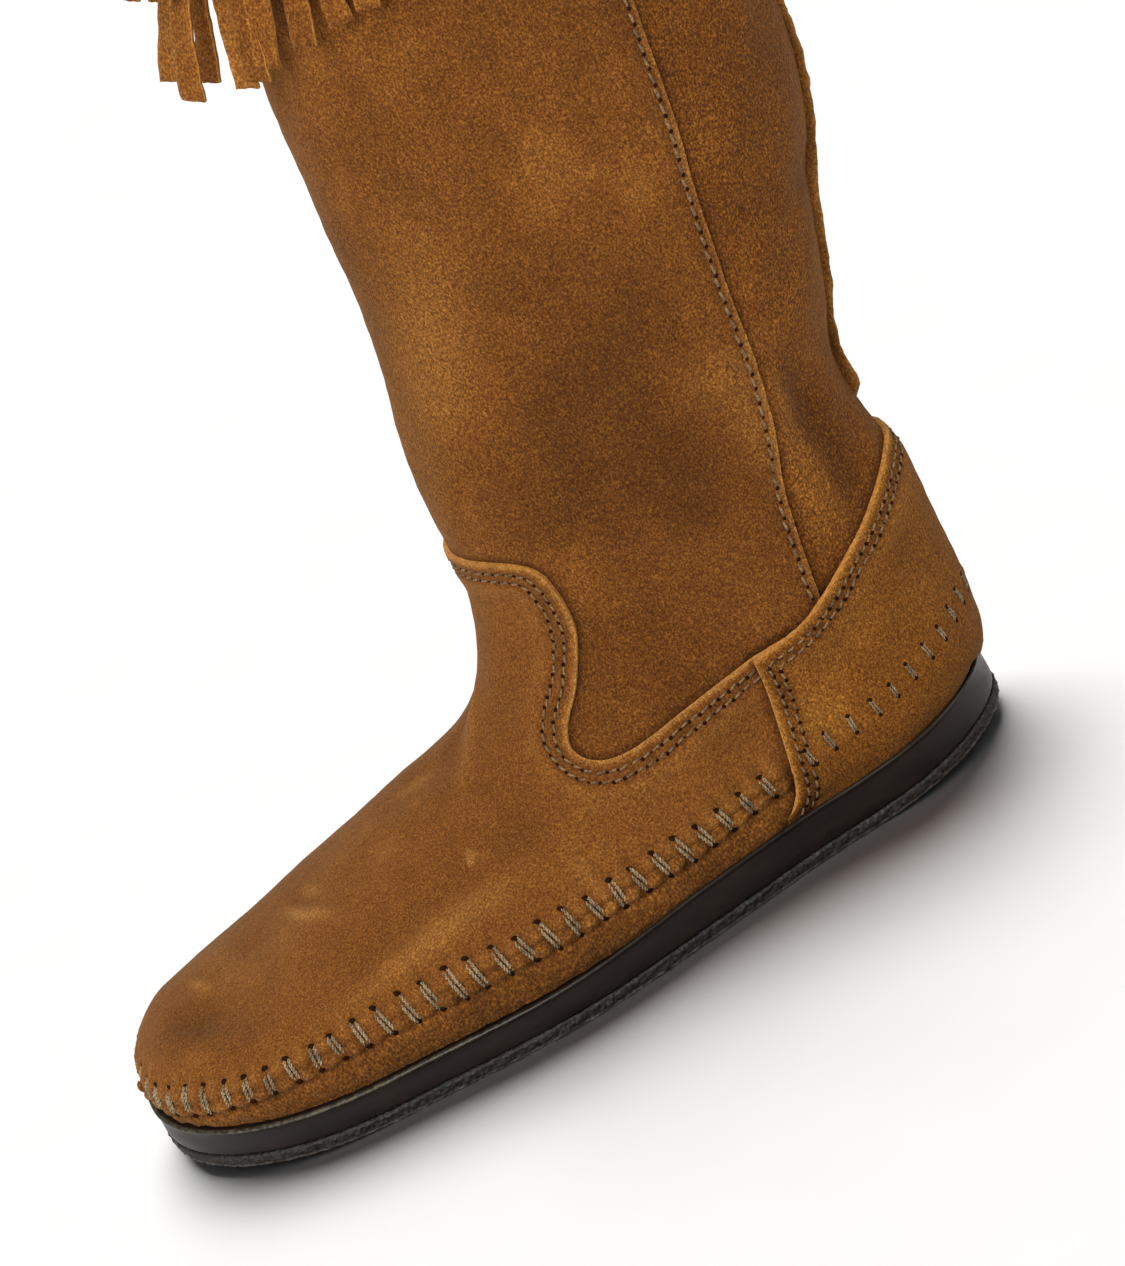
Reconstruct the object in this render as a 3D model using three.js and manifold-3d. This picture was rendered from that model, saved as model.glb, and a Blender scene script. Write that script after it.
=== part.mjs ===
// A left-foot, knee-high, pull-on moccasin boot in soft suede: a flat two-layer rubber sole, an insole
// board and footbed inside, a moccasin wall and vamp, a heel counter with a stiffener behind it, a
// wrap-around front panel, two back panels joined in a standing back seam, and three tiers of fringe.
// Millimetres, +Z up, toe towards -X, outer (lateral) side towards -Y. The origin is on the ground,
// under the middle of the sole's length.
import * as THREE from "three";
import { mergeVertices } from "three/addons/utils/BufferGeometryUtils.js";
import Module from "manifold-3d";

const wasm = await Module();
wasm.setup();

// ---- Driving dimensions ----
const GAP = 0.3;                 // clearance between neighbouring pieces
const TOE_X = -130;              // front end of the sole
const HEEL_X = 133;              // back end of the sole
const TREAD_THICK = 4;           // textured lower layer of the sole
const SOLE_THICK = 13;           // both layers of the sole
const TOE_SPRING = 5;            // how far the tip of the sole lifts off the ground
const SPRING_START_X = -62;      // where the sole starts to lift
const HEEL_SPRING = 4.5;         // the soft heel lifts a little too
const HEEL_SPRING_X = 82;        // from here to the back end
const HEEL_SPRING_POWER = 1.3;
const SUEDE = 2;                 // an upper panel with its backing
const STIFFENER = 1.3;
const STIFFENER_FRONT_X = 86;    // its wings end here at the sole
const STIFFENER_SLANT = 10;
const STIFFENER_TOP_Z = 70;
const STIFFENER_SLOPE = 12;      // its top edge falls this much towards the wings
const BOARD_THICK = 2;
const BOARD_INSET = 6.5;         // board and footbed stay this far inside the sole's edge
const FOOTBED_THICK = 4;
const TOP_Z = 420;               // top edge of the boot
const STRAIGHT_Z = 256;          // the shaft is straight from here to the top
const FACING_HEIGHT = 26;        // folded-in band inside the top edge
const FACING_SLIT = 0.02;        // half the angle left open where its ends meet, in radians
const LAYER_OVER = 6;            // how far a hollow runs on past the boot's open ends
const FLANGE_OUT = 5;            // how far the back seam stands out
const FLANGE_THICK = 1.4;        // each of its two suede layers
const FLANGE_FOOT_Z = 97;        // it starts just above the heel counter
const FLANGE_STEPS = 14;

// Fringe
const TIER_NAMES = ["top", "middle", "low"];
const SECTORS = 8;               // groups of strands round the shaft
const STRANDS = 6;               // strands in one group
const TIER_PITCH = 30;
const HEADER_HEIGHT = 8;
const FRINGE_THICK = 1.4;
const FRINGE_LENGTH = 80;        // at the shin, where the strands are longest
const FRINGE_SIDE_LENGTH = 60;   // round the sides and the back
const ROOT_HEIGHT = 4;           // uncut strip above the slits
const SLIT = 0.6;
const HANG_GAP = 0.6;            // between a header and the strands that swing below it
const FRINGE_CLEAR = 1;          // between the shaft and the first layer of fringe
const TIER_FLARE = 0.075;        // upper tiers lean out over the tier below, mm per mm of drop

// Sections of the boot's outer skin, from the toe to the top. Each one lies in a plane that fans round
// the instep: it runs from the sole or heel line (back) to the ridge of the vamp or shin (front).
const SKIN_FOOT_Z = SOLE_THICK + GAP;
const SECTION_LINES = [
  { front: [-128.9, 23.6], back: [-128.9, 16.8] },
  { front: [-127.8, 28.6], back: [-127.6, 14] },
  { front: [-125.8, 32.4], back: [-125.4, SKIN_FOOT_Z] },
  { front: [-122.5, 35.2], back: [-122.4, SKIN_FOOT_Z] },
  { front: [-114.5, 39.3], back: [-114.5, SKIN_FOOT_Z] },
  { front: [-102, 42], back: [-102, SKIN_FOOT_Z] },
  { front: [-86, 45.2], back: [-86, SKIN_FOOT_Z] },
  { front: [-66, 51.4], back: [-66, SKIN_FOOT_Z] },
  { front: [-46, 57.7], back: [-45, SKIN_FOOT_Z] },
  { front: [-28, 63.6], back: [-25, SKIN_FOOT_Z] },
  { front: [-12.5, 67.6], back: [-5, SKIN_FOOT_Z] },
  { front: [-3.4, 71.2], back: [15, SKIN_FOOT_Z] },
  { front: [3.4, 76], back: [35, SKIN_FOOT_Z] },
  { front: [8.5, 82], back: [56, SKIN_FOOT_Z] },
  { front: [12, 89], back: [77, SKIN_FOOT_Z] },
  { front: [14.6, 95], back: [97, SKIN_FOOT_Z] },
  { front: [16.4, 100.5], back: [115, SKIN_FOOT_Z] },
  { front: [17.6, 105], back: [126, SKIN_FOOT_Z] },
  { front: [18.1, 107.5], back: [130.4, SKIN_FOOT_Z] },
  { front: [18.8, 111.5], back: [135.2, 19] },
  { front: [19.3, 117], back: [138, 33] },
  { front: [19.3, 124], back: [139.6, 52] },
  { front: [19.6, 133], back: [140.3, 74] },
  { front: [20.6, 145], back: [137.6, 96] },
  { front: [23, 158], back: [136.6, 118] },
  { front: [26.4, 174], back: [144, 139] },
  { front: [29.4, 192], back: [152.5, 163] },
  { front: [31.2, 212], back: [163, 190] },
  { front: [33.2, 232], back: [167.2, 214] },
  { front: [35.5, STRAIGHT_Z], back: [169, STRAIGHT_Z] },
];
const TOP_FRONT_X = 57;
const TOP_BACK_X = 188;
const SHAFT_FRONT_X = SECTION_LINES.at(-1).front[0];
const SHAFT_BACK_X = SECTION_LINES.at(-1).back[0];
const SKIN_TOE_X = TOE_X + 1;
const HEEL_FOOT_X = 131;         // back end of the skin where it meets the sole
const SKIN_STEPS = 42;           // sections along the boot
const SKIN_COUNT = 10;           // points up each side of a section
const FORE_END_SHARE = 0.28;     // sections change from vamp-shaped to leg-shaped between these
const LEG_START_SHARE = 0.62;    // shares of the way from toe to top
const FORE_CAP_START = 0.3;      // the vamp's sides stand upright to this share of its height
const FORE_CAP_POWER = 2.15;     // and curve over to the ridge with this power

// Half widths of the sole outline along its length, before the ends are rounded.
const LATERAL_WIDTHS = [[-130, 49], [-60, 50], [-8, 52], [38, 43.5], [75, 36], [133, 33]];
const MEDIAL_WIDTHS = [[-130, 43], [-60, 44], [-30, 42.5], [10, 31], [45, 26], [80, 29.5], [133, 32]];
const TOE_ROUND = 62;            // length over which the toe rounds off
const TOE_POWER = 2.3;
const TOE_TURN_Y = 5;            // the toe tip points slightly to the inner side
const HEEL_ROUND = 40;
const UPPER_INSET = 1;           // the skin meets the sole this far inside its edge
const WALL_BULGE = 1.8;          // the soft wall swells over the sole's edge
const WALL_BULGE_HEIGHT = 30;
const LEG_WIDTHS = [[60, 35], [112, 40.5], [160, 44], [216, 47], [420, 48]];
const FOOT_TOP_Z = 32;           // below this the width follows the sole
const LEG_FOOT_Z = 98;           // above this it follows the leg
const RIDGE_Y = 4;               // the instep ridge lies towards the inner side

// Side-view seam lines, as points of smooth curves.
const WHIP_SEAM = [[-140, 24], [-128, 25], [-105, 26.5], [-60, 29], [0, 28.5], [40, 27.8], [71, 29.5], [78, 30]];
const VAMP_TOP = [
  [5, 121.5], [20, 121], [32, 118.5], [38, 112], [38.5, 96], [31.5, 81], [23, 71], [21, 65],
  [26, 60.2], [36, 58.8], [54, 61], [75.6, 63.6],
];
const COUNTER_FRONT = [[75.6, 63.6], [74.6, 50], [70.5, 33], [67.5, 22], [60, 6]];
const COUNTER_TOP = [[75.6, 63.6], [88, 64.6], [100, 69.5], [112, 75.5], [124, 81], [134, 87], [146, 94]];
const SIDE_SEAM = [[100, 69.5], [104, 97], [110, 122], [115.5, 147], [121.5, 186], [130, 234], [139, 300], [151, 424]];
const OUTSIDE = 220;             // well clear of the boot on every side

// ---- Small helpers ----
const mix = (a, b, t) => a + (b - a) * t;
const clamp01 = (t) => Math.min(1, Math.max(0, t));
const ease = (a, b, t) => {
  const u = clamp01((t - a) / (b - a));
  return u * u * (3 - 2 * u);
};

// A smooth curve through [position, value] knots, read at one position.
function through(knots, at) {
  const last = knots.length - 1;
  if (at <= knots[0][0]) return knots[0][1];
  if (at >= knots[last][0]) return knots[last][1];
  const i = knots.findIndex((knot) => knot[0] > at) - 1;
  const slope = (k) => {
    const before = knots[Math.max(0, k - 1)];
    const after = knots[Math.min(last, k + 1)];
    return (after[1] - before[1]) / (after[0] - before[0]);
  };
  const span = knots[i + 1][0] - knots[i][0];
  const t = (at - knots[i][0]) / span;
  const t2 = t * t;
  const t3 = t2 * t;
  return (2 * t3 - 3 * t2 + 1) * knots[i][1] + (t3 - 2 * t2 + t) * span * slope(i)
    + (3 * t2 - 2 * t3) * knots[i + 1][1] + (t3 - t2) * span * slope(i + 1);
}

const corner = (x, z) => new THREE.Vector2(x, z);
const smoothLine = (points, steps) =>
  new THREE.SplineCurve(points.map((p) => corner(...p))).getPoints(steps);

function solidOf(geometry) {
  const bare = geometry.clone();
  bare.deleteAttribute("normal");
  bare.deleteAttribute("uv");
  const merged = mergeVertices(bare, 1e-4);
  return new wasm.Manifold(new wasm.Mesh({
    numProp: 3,
    vertProperties: new Float32Array(merged.attributes.position.array),
    triVerts: new Uint32Array(merged.index.array),
  }));
}

function geometryOf(solid) {
  const mesh = solid.getMesh();
  const geometry = new THREE.BufferGeometry();
  geometry.setAttribute("position", new THREE.BufferAttribute(mesh.vertProperties, 3));
  geometry.setIndex(new THREE.BufferAttribute(mesh.triVerts, 1));
  return geometry;
}

// A prism across the boot whose side view is the outline, from yLow to yHigh.
function acrossPrism(outline, yLow = -OUTSIDE, yHigh = OUTSIDE) {
  const shape = new THREE.Shape(outline);
  const prism = new THREE.ExtrudeGeometry(shape, { depth: yHigh - yLow, bevelEnabled: false });
  prism.rotateX(Math.PI / 2);
  prism.translate(0, yHigh, 0);
  return solidOf(prism);
}

// A thin blade across the boot along a side-view line, which leaves the gap between two panels.
function blade(line) {
  const half = GAP / 2;
  const side = (sign) => line.map((p, i) => {
    const before = line[Math.max(0, i - 1)];
    const after = line[Math.min(line.length - 1, i + 1)];
    const along = after.clone().sub(before).normalize();
    return new THREE.Vector2(p.x - sign * half * along.y, p.y + sign * half * along.x);
  });
  return acrossPrism([...side(-1), ...side(1).reverse()]);
}

// A curved sheet as a closed solid: a grid of columns and rows with two layers, of which only the
// filled cells exist. `place(column, row, layer)` gives each corner.
function gridSheet(columns, rows, filled, place) {
  const positions = [];
  const index = [];
  const vertex = (i, r, layer) => ((i * (rows + 1)) + r) * 2 + layer;
  for (let i = 0; i <= columns; i += 1) {
    for (let r = 0; r <= rows; r += 1) {
      positions.push(...place(i, r, 0).toArray(), ...place(i, r, 1).toArray());
    }
  }
  const quad = (a, b, c, d) => index.push(a, b, c, a, c, d);
  const isFilled = (i, r) => i >= 0 && i < columns && r >= 0 && r < rows && filled(i, r);
  for (let i = 0; i < columns; i += 1) {
    for (let r = 0; r < rows; r += 1) {
      if (!isFilled(i, r)) continue;
      const at = (di, dr, layer) => vertex(i + di, r + dr, layer);
      quad(at(0, 0, 1), at(1, 0, 1), at(1, 1, 1), at(0, 1, 1));
      quad(at(0, 1, 0), at(1, 1, 0), at(1, 0, 0), at(0, 0, 0));
      if (!isFilled(i - 1, r)) quad(at(0, 0, 0), at(0, 0, 1), at(0, 1, 1), at(0, 1, 0));
      if (!isFilled(i + 1, r)) quad(at(1, 1, 0), at(1, 1, 1), at(1, 0, 1), at(1, 0, 0));
      if (!isFilled(i, r - 1)) quad(at(1, 0, 0), at(1, 0, 1), at(0, 0, 1), at(0, 0, 0));
      if (!isFilled(i, r + 1)) quad(at(0, 1, 0), at(0, 1, 1), at(1, 1, 1), at(1, 1, 0));
    }
  }
  const geometry = new THREE.BufferGeometry();
  geometry.setAttribute("position", new THREE.Float32BufferAttribute(positions, 3));
  geometry.setIndex(index);
  return mergeVertices(geometry, 1e-4);
}

// ---- Widths and lines shared by the sole and the skin ----
const toeFactor = (x, endX) => {
  const past = clamp01((endX + TOE_ROUND - x) / TOE_ROUND);
  return (1 - past ** TOE_POWER) ** (1 / TOE_POWER);
};
const heelFactor = (x, endX, round) => {
  const past = clamp01((x - (endX - round)) / round);
  return Math.sqrt(1 - past * past);
};
const toeTurn = (x) => TOE_TURN_Y * ease(-20, TOE_X, x);
// How far the sole lifts off the ground, at the toe and at the back of the heel.
const springRise = (x) => TOE_SPRING * clamp01((SPRING_START_X - x) / (SPRING_START_X - TOE_X)) ** 2
  + HEEL_SPRING * clamp01((x - HEEL_SPRING_X) / (HEEL_X - HEEL_SPRING_X)) ** HEEL_SPRING_POWER;
const soleHalf = (side, x) => through(side < 0 ? LATERAL_WIDTHS : MEDIAL_WIDTHS, x);

// ---- The sole's pieces ----
// The sole's plan outline, drawn in by `inset` all round.
function soleOutline(inset, steps = 26) {
  const edge = (side) => Array.from({ length: steps + 1 }, (_, i) => {
    const t = (1 - Math.cos((Math.PI * i) / steps)) / 2;
    const x = mix(TOE_X + inset, HEEL_X - inset, t);
    const round = toeFactor(x, TOE_X + inset) * heelFactor(x, HEEL_X - inset, HEEL_ROUND - inset);
    return new THREE.Vector2(x, toeTurn(x) + side * (soleHalf(side, x) - inset) * round);
  });
  return [...edge(-1), ...edge(1).reverse().slice(1, -1)];
}

// A level side-view line that lifts towards the toe and the heel with the sole.
const SPRING_LINE_XS = [-145, TOE_X, -120, -108, -96, -84, -72, SPRING_START_X,
  HEEL_SPRING_X, 90, 98, 106, 115, 124, HEEL_X, 145];
const springLine = (z) => SPRING_LINE_XS
  .map((x) => new THREE.Vector2(x, z + springRise(x)));

// A slab between two heights that has the sole's outline and lifts at both ends.
function soleSlab(inset, zLow, zHigh) {
  const plan = new THREE.ExtrudeGeometry(new THREE.Shape(soleOutline(inset)), {
    depth: SOLE_THICK * 3,
    bevelEnabled: false,
  });
  plan.translate(0, 0, -SOLE_THICK / 2);
  return solidOf(plan).intersect(acrossPrism([...springLine(zLow), ...springLine(zHigh).reverse()]));
}

// ---- The boot's skin ----
const BACK_LINE = SECTION_LINES.filter((line) => line.back[1] > SKIN_FOOT_Z && line.back[0] > 0)
  .map((line) => [line.back[1], line.back[0]]);
const backX = (z) => through([[SKIN_FOOT_Z, HEEL_FOOT_X], ...BACK_LINE, [TOP_Z, TOP_BACK_X]], z);
const shaftShare = (z) => (z - STRAIGHT_Z) / (TOP_Z - STRAIGHT_Z);
const shaftFrontX = (z) => mix(SHAFT_FRONT_X, TOP_FRONT_X, shaftShare(z));
const shaftBackX = (z) => mix(SHAFT_BACK_X, TOP_BACK_X, shaftShare(z));

// Half width of the skin at a side-view point, with the toe and the back of the boot rounded.
function skinHalf(side, x, z, depthHalf) {
  const bulge = WALL_BULGE * Math.sin(Math.PI * clamp01((z - SKIN_FOOT_Z) / WALL_BULGE_HEIGHT));
  const low = soleHalf(side, x) - UPPER_INSET + bulge;
  const wide = mix(low, through(LEG_WIDTHS, z), ease(FOOT_TOP_Z, LEG_FOOT_Z, z));
  const round = mix(HEEL_ROUND, depthHalf, ease(FOOT_TOP_Z, LEG_FOOT_Z + HEEL_ROUND, z));
  return wide * toeFactor(x, SKIN_TOE_X) * heelFactor(x, backX(z), round);
}

// The section lines refined along the foot, and the straight shaft run on to `topZ`.
function fanLines(steps, topZ) {
  const curveOf = (end) => new THREE.SplineCurve(
    SECTION_LINES.map((line) => corner(...line[end])));
  const fronts = curveOf("front").getPoints(steps);
  const backs = curveOf("back").getPoints(steps);
  backs.forEach((back) => { back.y = Math.max(back.y, SKIN_FOOT_Z); });
  const lines = fronts.map((front, i) => ({ front, back: backs[i], straight: i === steps }));
  lines.push({
    front: new THREE.Vector2(shaftFrontX(topZ), topZ),
    back: new THREE.Vector2(shaftBackX(topZ), topZ),
    straight: true,
  });
  return lines;
}

// One section as a ring: from back to front up the outer side, then down the inner side. It is drawn
// in by `inset` from the outer skin, and where it stands on the sole its foot reaches `drop` lower.
function sectionRing(line, share, count, inset, drop) {
  const onSole = 1 - ease(SKIN_FOOT_Z, SKIN_FOOT_Z + LAYER_OVER, line.back.y);
  const chord = line.front.clone().sub(line.back);
  const length = chord.length();
  const draw = chord.clone().setLength(Math.min(inset, length / 3));
  const toeTuck = inset * ease(TOE_X + TOE_ROUND / 2, SKIN_TOE_X, line.back.x);
  const heelTuck = inset * onSole * ease(HEEL_FOOT_X - HEEL_ROUND, HEEL_FOOT_X, line.back.x);
  const start = line.back.clone().addScaledVector(draw, 1 - onSole).add(corner(toeTuck - heelTuck, 0));
  const end = line.front.clone().sub(draw).add(corner(toeTuck, 0));
  const lift = springRise(line.back.x) * onSole;
  const foreShare = 1 - ease(FORE_END_SHARE, LEG_START_SHARE, share);
  const capStart = mix(0.5, FORE_CAP_START, foreShare);
  const capPower = mix(2, FORE_CAP_POWER, foreShare);
  const turn = toeTurn(line.back.x);
  const ridgeY = RIDGE_Y * foreShare * ease(0, FORE_END_SHARE, share);
  const sidePoints = (side) => Array.from({ length: count + 1 }, (_, i) => {
    const t = (1 - Math.cos((Math.PI * i) / count)) / 2;
    const outer = line.back.clone().addScaledVector(chord, t);
    const place = start.clone().lerp(end, t);
    const cap = (1 - clamp01((t - capStart) / (1 - capStart)) ** capPower) ** (1 / capPower);
    const round = line.straight ? Math.sqrt(1 - clamp01((capStart - t) / capStart) ** 2) : 1;
    const widest = through(LEG_WIDTHS, outer.y);
    const half = line.straight ? widest : skinHalf(side, outer.x, outer.y, length / 2);
    const drawn = half * (1 - inset / widest);
    const y = turn + ridgeY + side * (drawn - side * ridgeY) * cap * round;
    return new THREE.Vector3(place.x, y, place.y + lift * (1 - t) - (i === 0 ? drop * onSole : 0));
  });
  return [...sidePoints(-1), ...sidePoints(1).reverse()];
}

// The closed skin of the whole boot, drawn in by `inset`; `over` runs it on past both open ends.
function skin(inset, over = 0) {
  const count = SKIN_COUNT;
  const lines = fanLines(SKIN_STEPS, TOP_Z + over);
  const rings = lines.map((line, k) => sectionRing(line, k / lines.length, count, inset, over));
  const around = rings[0].length;
  const index = [];
  for (let k = 0; k + 1 < rings.length; k += 1) {
    for (let i = 0; i < around; i += 1) {
      const j = (i + 1) % around;
      const [a, b] = [k * around + i, k * around + j];
      index.push(a, b + around, b, a, a + around, b + around);
    }
  }
  const last = (rings.length - 1) * around;
  for (let i = 0; i < count; i += 1) {
    const j = around - 1 - i;
    index.push(i, i + 1, j, i + 1, j - 1, j);
    index.push(last + i, last + j, last + i + 1, last + i + 1, last + j, last + j - 1);
  }
  const geometry = new THREE.BufferGeometry();
  const corners = rings.flat().flatMap((p) => p.toArray());
  geometry.setAttribute("position", new THREE.Float32BufferAttribute(corners, 3));
  geometry.setIndex(index);
  return solidOf(geometry);
}

const skinLayer = (outerInset, innerInset) => skin(outerInset).subtract(skin(innerInset, LAYER_OVER));

// ---- The upper's panels, cut from one suede layer along their seams ----
const whipLine = smoothLine(WHIP_SEAM, 16);
const vampTopLine = smoothLine(VAMP_TOP, 26);
const counterFrontLine = smoothLine(COUNTER_FRONT, 6);
const counterTopLine = smoothLine(COUNTER_TOP, 10);
const sideSeamLine = smoothLine(SIDE_SEAM, 10);

const belowWhip = acrossPrism([corner(-OUTSIDE, -OUTSIDE), corner(OUTSIDE, -OUTSIDE),
  corner(OUTSIDE, WHIP_SEAM.at(-1)[1]), ...[...whipLine].reverse(), corner(-OUTSIDE, WHIP_SEAM[0][1])]);
const counterZone = acrossPrism([...[...counterFrontLine].reverse(), ...counterTopLine.slice(1),
  corner(OUTSIDE, COUNTER_TOP.at(-1)[1]), corner(OUTSIDE, -OUTSIDE), corner(COUNTER_FRONT.at(-1)[0], -OUTSIDE)]);
const vampZone = acrossPrism([corner(-OUTSIDE, VAMP_TOP[0][1]), ...vampTopLine,
  corner(VAMP_TOP.at(-1)[0], -OUTSIDE), corner(-OUTSIDE, -OUTSIDE)]);
const frontZone = acrossPrism([corner(-OUTSIDE, -OUTSIDE), corner(SIDE_SEAM[0][0], -OUTSIDE), ...sideSeamLine,
  corner(SIDE_SEAM.at(-1)[0], TOP_Z * 2), corner(-OUTSIDE, TOP_Z * 2)]);

const suede = skinLayer(0, SUEDE);
const footBlades = blade(whipLine).add(blade(counterFrontLine));
const legBlades = blade(vampTopLine).add(blade(counterTopLine)).add(blade(sideSeamLine));

const moccasinWall = () => suede.intersect(belowWhip).subtract(counterZone).subtract(footBlades);
const vamp = () => suede.intersect(vampZone).subtract(belowWhip).subtract(counterZone)
  .subtract(footBlades).subtract(legBlades);
const heelCounter = () => suede.intersect(counterZone).subtract(blade(counterFrontLine))
  .subtract(blade(counterTopLine));
const shaftFront = () => suede.intersect(frontZone).subtract(vampZone).subtract(counterZone)
  .subtract(legBlades);

// One back panel, with its standing layer of the back seam turned outwards.
function shaftBack(side) {
  const halfSpace = acrossPrism([corner(-OUTSIDE, -OUTSIDE), corner(OUTSIDE, -OUTSIDE),
    corner(OUTSIDE, TOP_Z * 2), corner(-OUTSIDE, TOP_Z * 2)],
  ...(side < 0 ? [-OUTSIDE, -GAP / 2] : [GAP / 2, OUTSIDE]));
  const heights = Array.from({ length: FLANGE_STEPS + 1 },
    (_, i) => mix(FLANGE_FOOT_Z, TOP_Z, i / FLANGE_STEPS));
  const lineAt = (out) => heights.map((z) => corner(backX(z) + out, z));
  const flange = acrossPrism([...lineAt(FLANGE_OUT), ...lineAt(-SUEDE / 2).reverse()],
    ...(side < 0 ? [-GAP / 2 - FLANGE_THICK, -GAP / 2] : [GAP / 2, GAP / 2 + FLANGE_THICK]));
  return suede.subtract(frontZone).subtract(counterZone).subtract(legBlades)
    .intersect(halfSpace).add(flange);
}

// The stiffener lies behind the counter, on the inner face of the suede.
function heelStiffener() {
  const zone = acrossPrism([corner(STIFFENER_FRONT_X, SKIN_FOOT_Z + GAP), corner(OUTSIDE, SKIN_FOOT_Z + GAP),
    corner(OUTSIDE, STIFFENER_TOP_Z), corner(STIFFENER_FRONT_X + STIFFENER_SLANT, STIFFENER_TOP_Z - STIFFENER_SLOPE)]);
  return skinLayer(SUEDE + 2 * GAP, SUEDE + 2 * GAP + STIFFENER).intersect(zone);
}

// ---- Fringe and facing: sheets that follow the straight shaft ----
// A point on the shaft's oval: `theta` runs from the back seam round the outer side.
function ovalPoint(theta, z, out) {
  const centre = (shaftFrontX(z) + shaftBackX(z)) / 2;
  const halfDepth = (shaftBackX(z) - shaftFrontX(z)) / 2 + out;
  const halfWidth = through(LEG_WIDTHS, z) + out;
  return new THREE.Vector3(centre + halfDepth * Math.cos(theta), -halfWidth * Math.sin(theta), z);
}

// Angles at given distances round the oval, measured where the fringe hangs.
const OVAL_STEPS = 720;
const ovalLengths = [0];
for (let i = 1; i <= OVAL_STEPS; i += 1) {
  const at = (k) => ovalPoint((2 * Math.PI * k) / OVAL_STEPS, TOP_Z, FRINGE_CLEAR);
  ovalLengths.push(ovalLengths[i - 1] + at(i).distanceTo(at(i - 1)));
}
const OVAL_LENGTH = ovalLengths[OVAL_STEPS];
function thetaAt(distance) {
  const i = Math.max(1, ovalLengths.findIndex((length) => length >= distance));
  const t = (distance - ovalLengths[i - 1]) / (ovalLengths[i] - ovalLengths[i - 1]);
  return (2 * Math.PI * (i - 1 + t)) / OVAL_STEPS;
}

const SEAM_ROOM = FLANGE_THICK + GAP / 2 + SLIT;
const STRAND_PITCH = (OVAL_LENGTH - 2 * SEAM_ROOM) / (SECTORS * STRANDS);
const headerFoot = (tier) => TOP_Z - HEADER_HEIGHT - tier * TIER_PITCH;

// A tier's header: the uncut strip sewn round the shaft, open at the back seam.
function fringeHeader(tier) {
  const columns = SECTORS * STRANDS;
  const foot = headerFoot(tier);
  const height = HEADER_HEIGHT - (tier === 0 ? GAP : 0);
  return gridSheet(columns, 1, () => true, (i, r, layer) => {
    const theta = thetaAt(mix(SEAM_ROOM, OVAL_LENGTH - SEAM_ROOM, i / columns));
    return ovalPoint(theta, foot + (r === 0 ? height : 0), GAP + layer * FRINGE_THICK);
  });
}

function fringeLength(theta) {
  const towardsShin = Math.max(0, -Math.cos(theta));
  return mix(FRINGE_SIDE_LENGTH, FRINGE_LENGTH, towardsShin ** 2);
}

// One group of strands, cut from a single strip. The lowest tier hangs along the shaft, and the
// upper tiers lean out over the tier below.
function fringeGroup(tier, sector) {
  const top = headerFoot(tier) - HANG_GAP;
  const flare = tier === TIER_NAMES.length - 1 ? 0 : TIER_FLARE;
  return gridSheet(2 * STRANDS - 1, 2, (i, r) => r === 0 || i % 2 === 0, (i, r, layer) => {
    const strand = Math.floor(i / 2);
    const edge = i % 2 === 0 ? SLIT / 2 : STRAND_PITCH - SLIT / 2;
    const start = SEAM_ROOM + (sector * STRANDS + strand) * STRAND_PITCH;
    const drop = [0, ROOT_HEIGHT, fringeLength(thetaAt(start + STRAND_PITCH / 2))][r];
    const out = FRINGE_CLEAR + flare * drop + layer * FRINGE_THICK;
    return ovalPoint(thetaAt(start + edge), top - drop, out);
  });
}

// The folded-in facing inside the top edge.
function topFacing() {
  const columns = 2 * SKIN_COUNT;
  return gridSheet(columns, 1, () => true, (i, r, layer) => ovalPoint(
    mix(FACING_SLIT, 2 * Math.PI - FACING_SLIT, i / columns),
    TOP_Z - (r === 0 ? 0 : FACING_HEIGHT), -SUEDE - 2 * GAP - (1 - layer) * FRINGE_THICK));
}

// ---- Assembly ----
const group = new THREE.Group();
function addPiece(name, shape, color, roughness) {
  const geometry = shape.isBufferGeometry ? shape : geometryOf(shape);
  const mesh = new THREE.Mesh(geometry, new THREE.MeshStandardMaterial({ color, roughness, metalness: 0 }));
  mesh.name = name;
  group.add(mesh);
}

const SUEDE_TAN = 0x8a531f;
const SUEDE_DARK = 0x7a4718;
const RUBBER_BROWN = 0x2a2220;
addPiece("outsole_tread", soleSlab(0, 0, TREAD_THICK), RUBBER_BROWN, 0.8);
addPiece("midsole", soleSlab(0, TREAD_THICK + GAP, SOLE_THICK), RUBBER_BROWN, 0.5);
const boardFoot = SOLE_THICK + GAP;
const footbedFoot = boardFoot + BOARD_THICK + GAP;
addPiece("insole_board", soleSlab(BOARD_INSET, boardFoot, boardFoot + BOARD_THICK), 0xa08c6c, 0.9);
addPiece("footbed", soleSlab(BOARD_INSET, footbedFoot, footbedFoot + FOOTBED_THICK), 0xb89468, 0.9);
addPiece("heel_stiffener", heelStiffener(), 0xc9b79a, 0.8);
addPiece("moccasin_wall", moccasinWall(), SUEDE_TAN, 1);
addPiece("vamp", vamp(), SUEDE_TAN, 1);
addPiece("heel_counter", heelCounter(), SUEDE_TAN, 1);
addPiece("shaft_front", shaftFront(), SUEDE_TAN, 1);
addPiece("shaft_back_lateral", shaftBack(-1), SUEDE_DARK, 1);
addPiece("shaft_back_medial", shaftBack(1), SUEDE_DARK, 1);
addPiece("top_facing", topFacing(), SUEDE_DARK, 1);
TIER_NAMES.forEach((tierName, tier) => {
  addPiece(`fringe_header_${tierName}`, fringeHeader(tier), SUEDE_DARK, 1);
  for (let sector = 0; sector < SECTORS; sector += 1) {
    addPiece(`fringe_${tierName}_${sector + 1}`, fringeGroup(tier, sector), SUEDE_TAN, 1);
  }
});
export default group;
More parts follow.
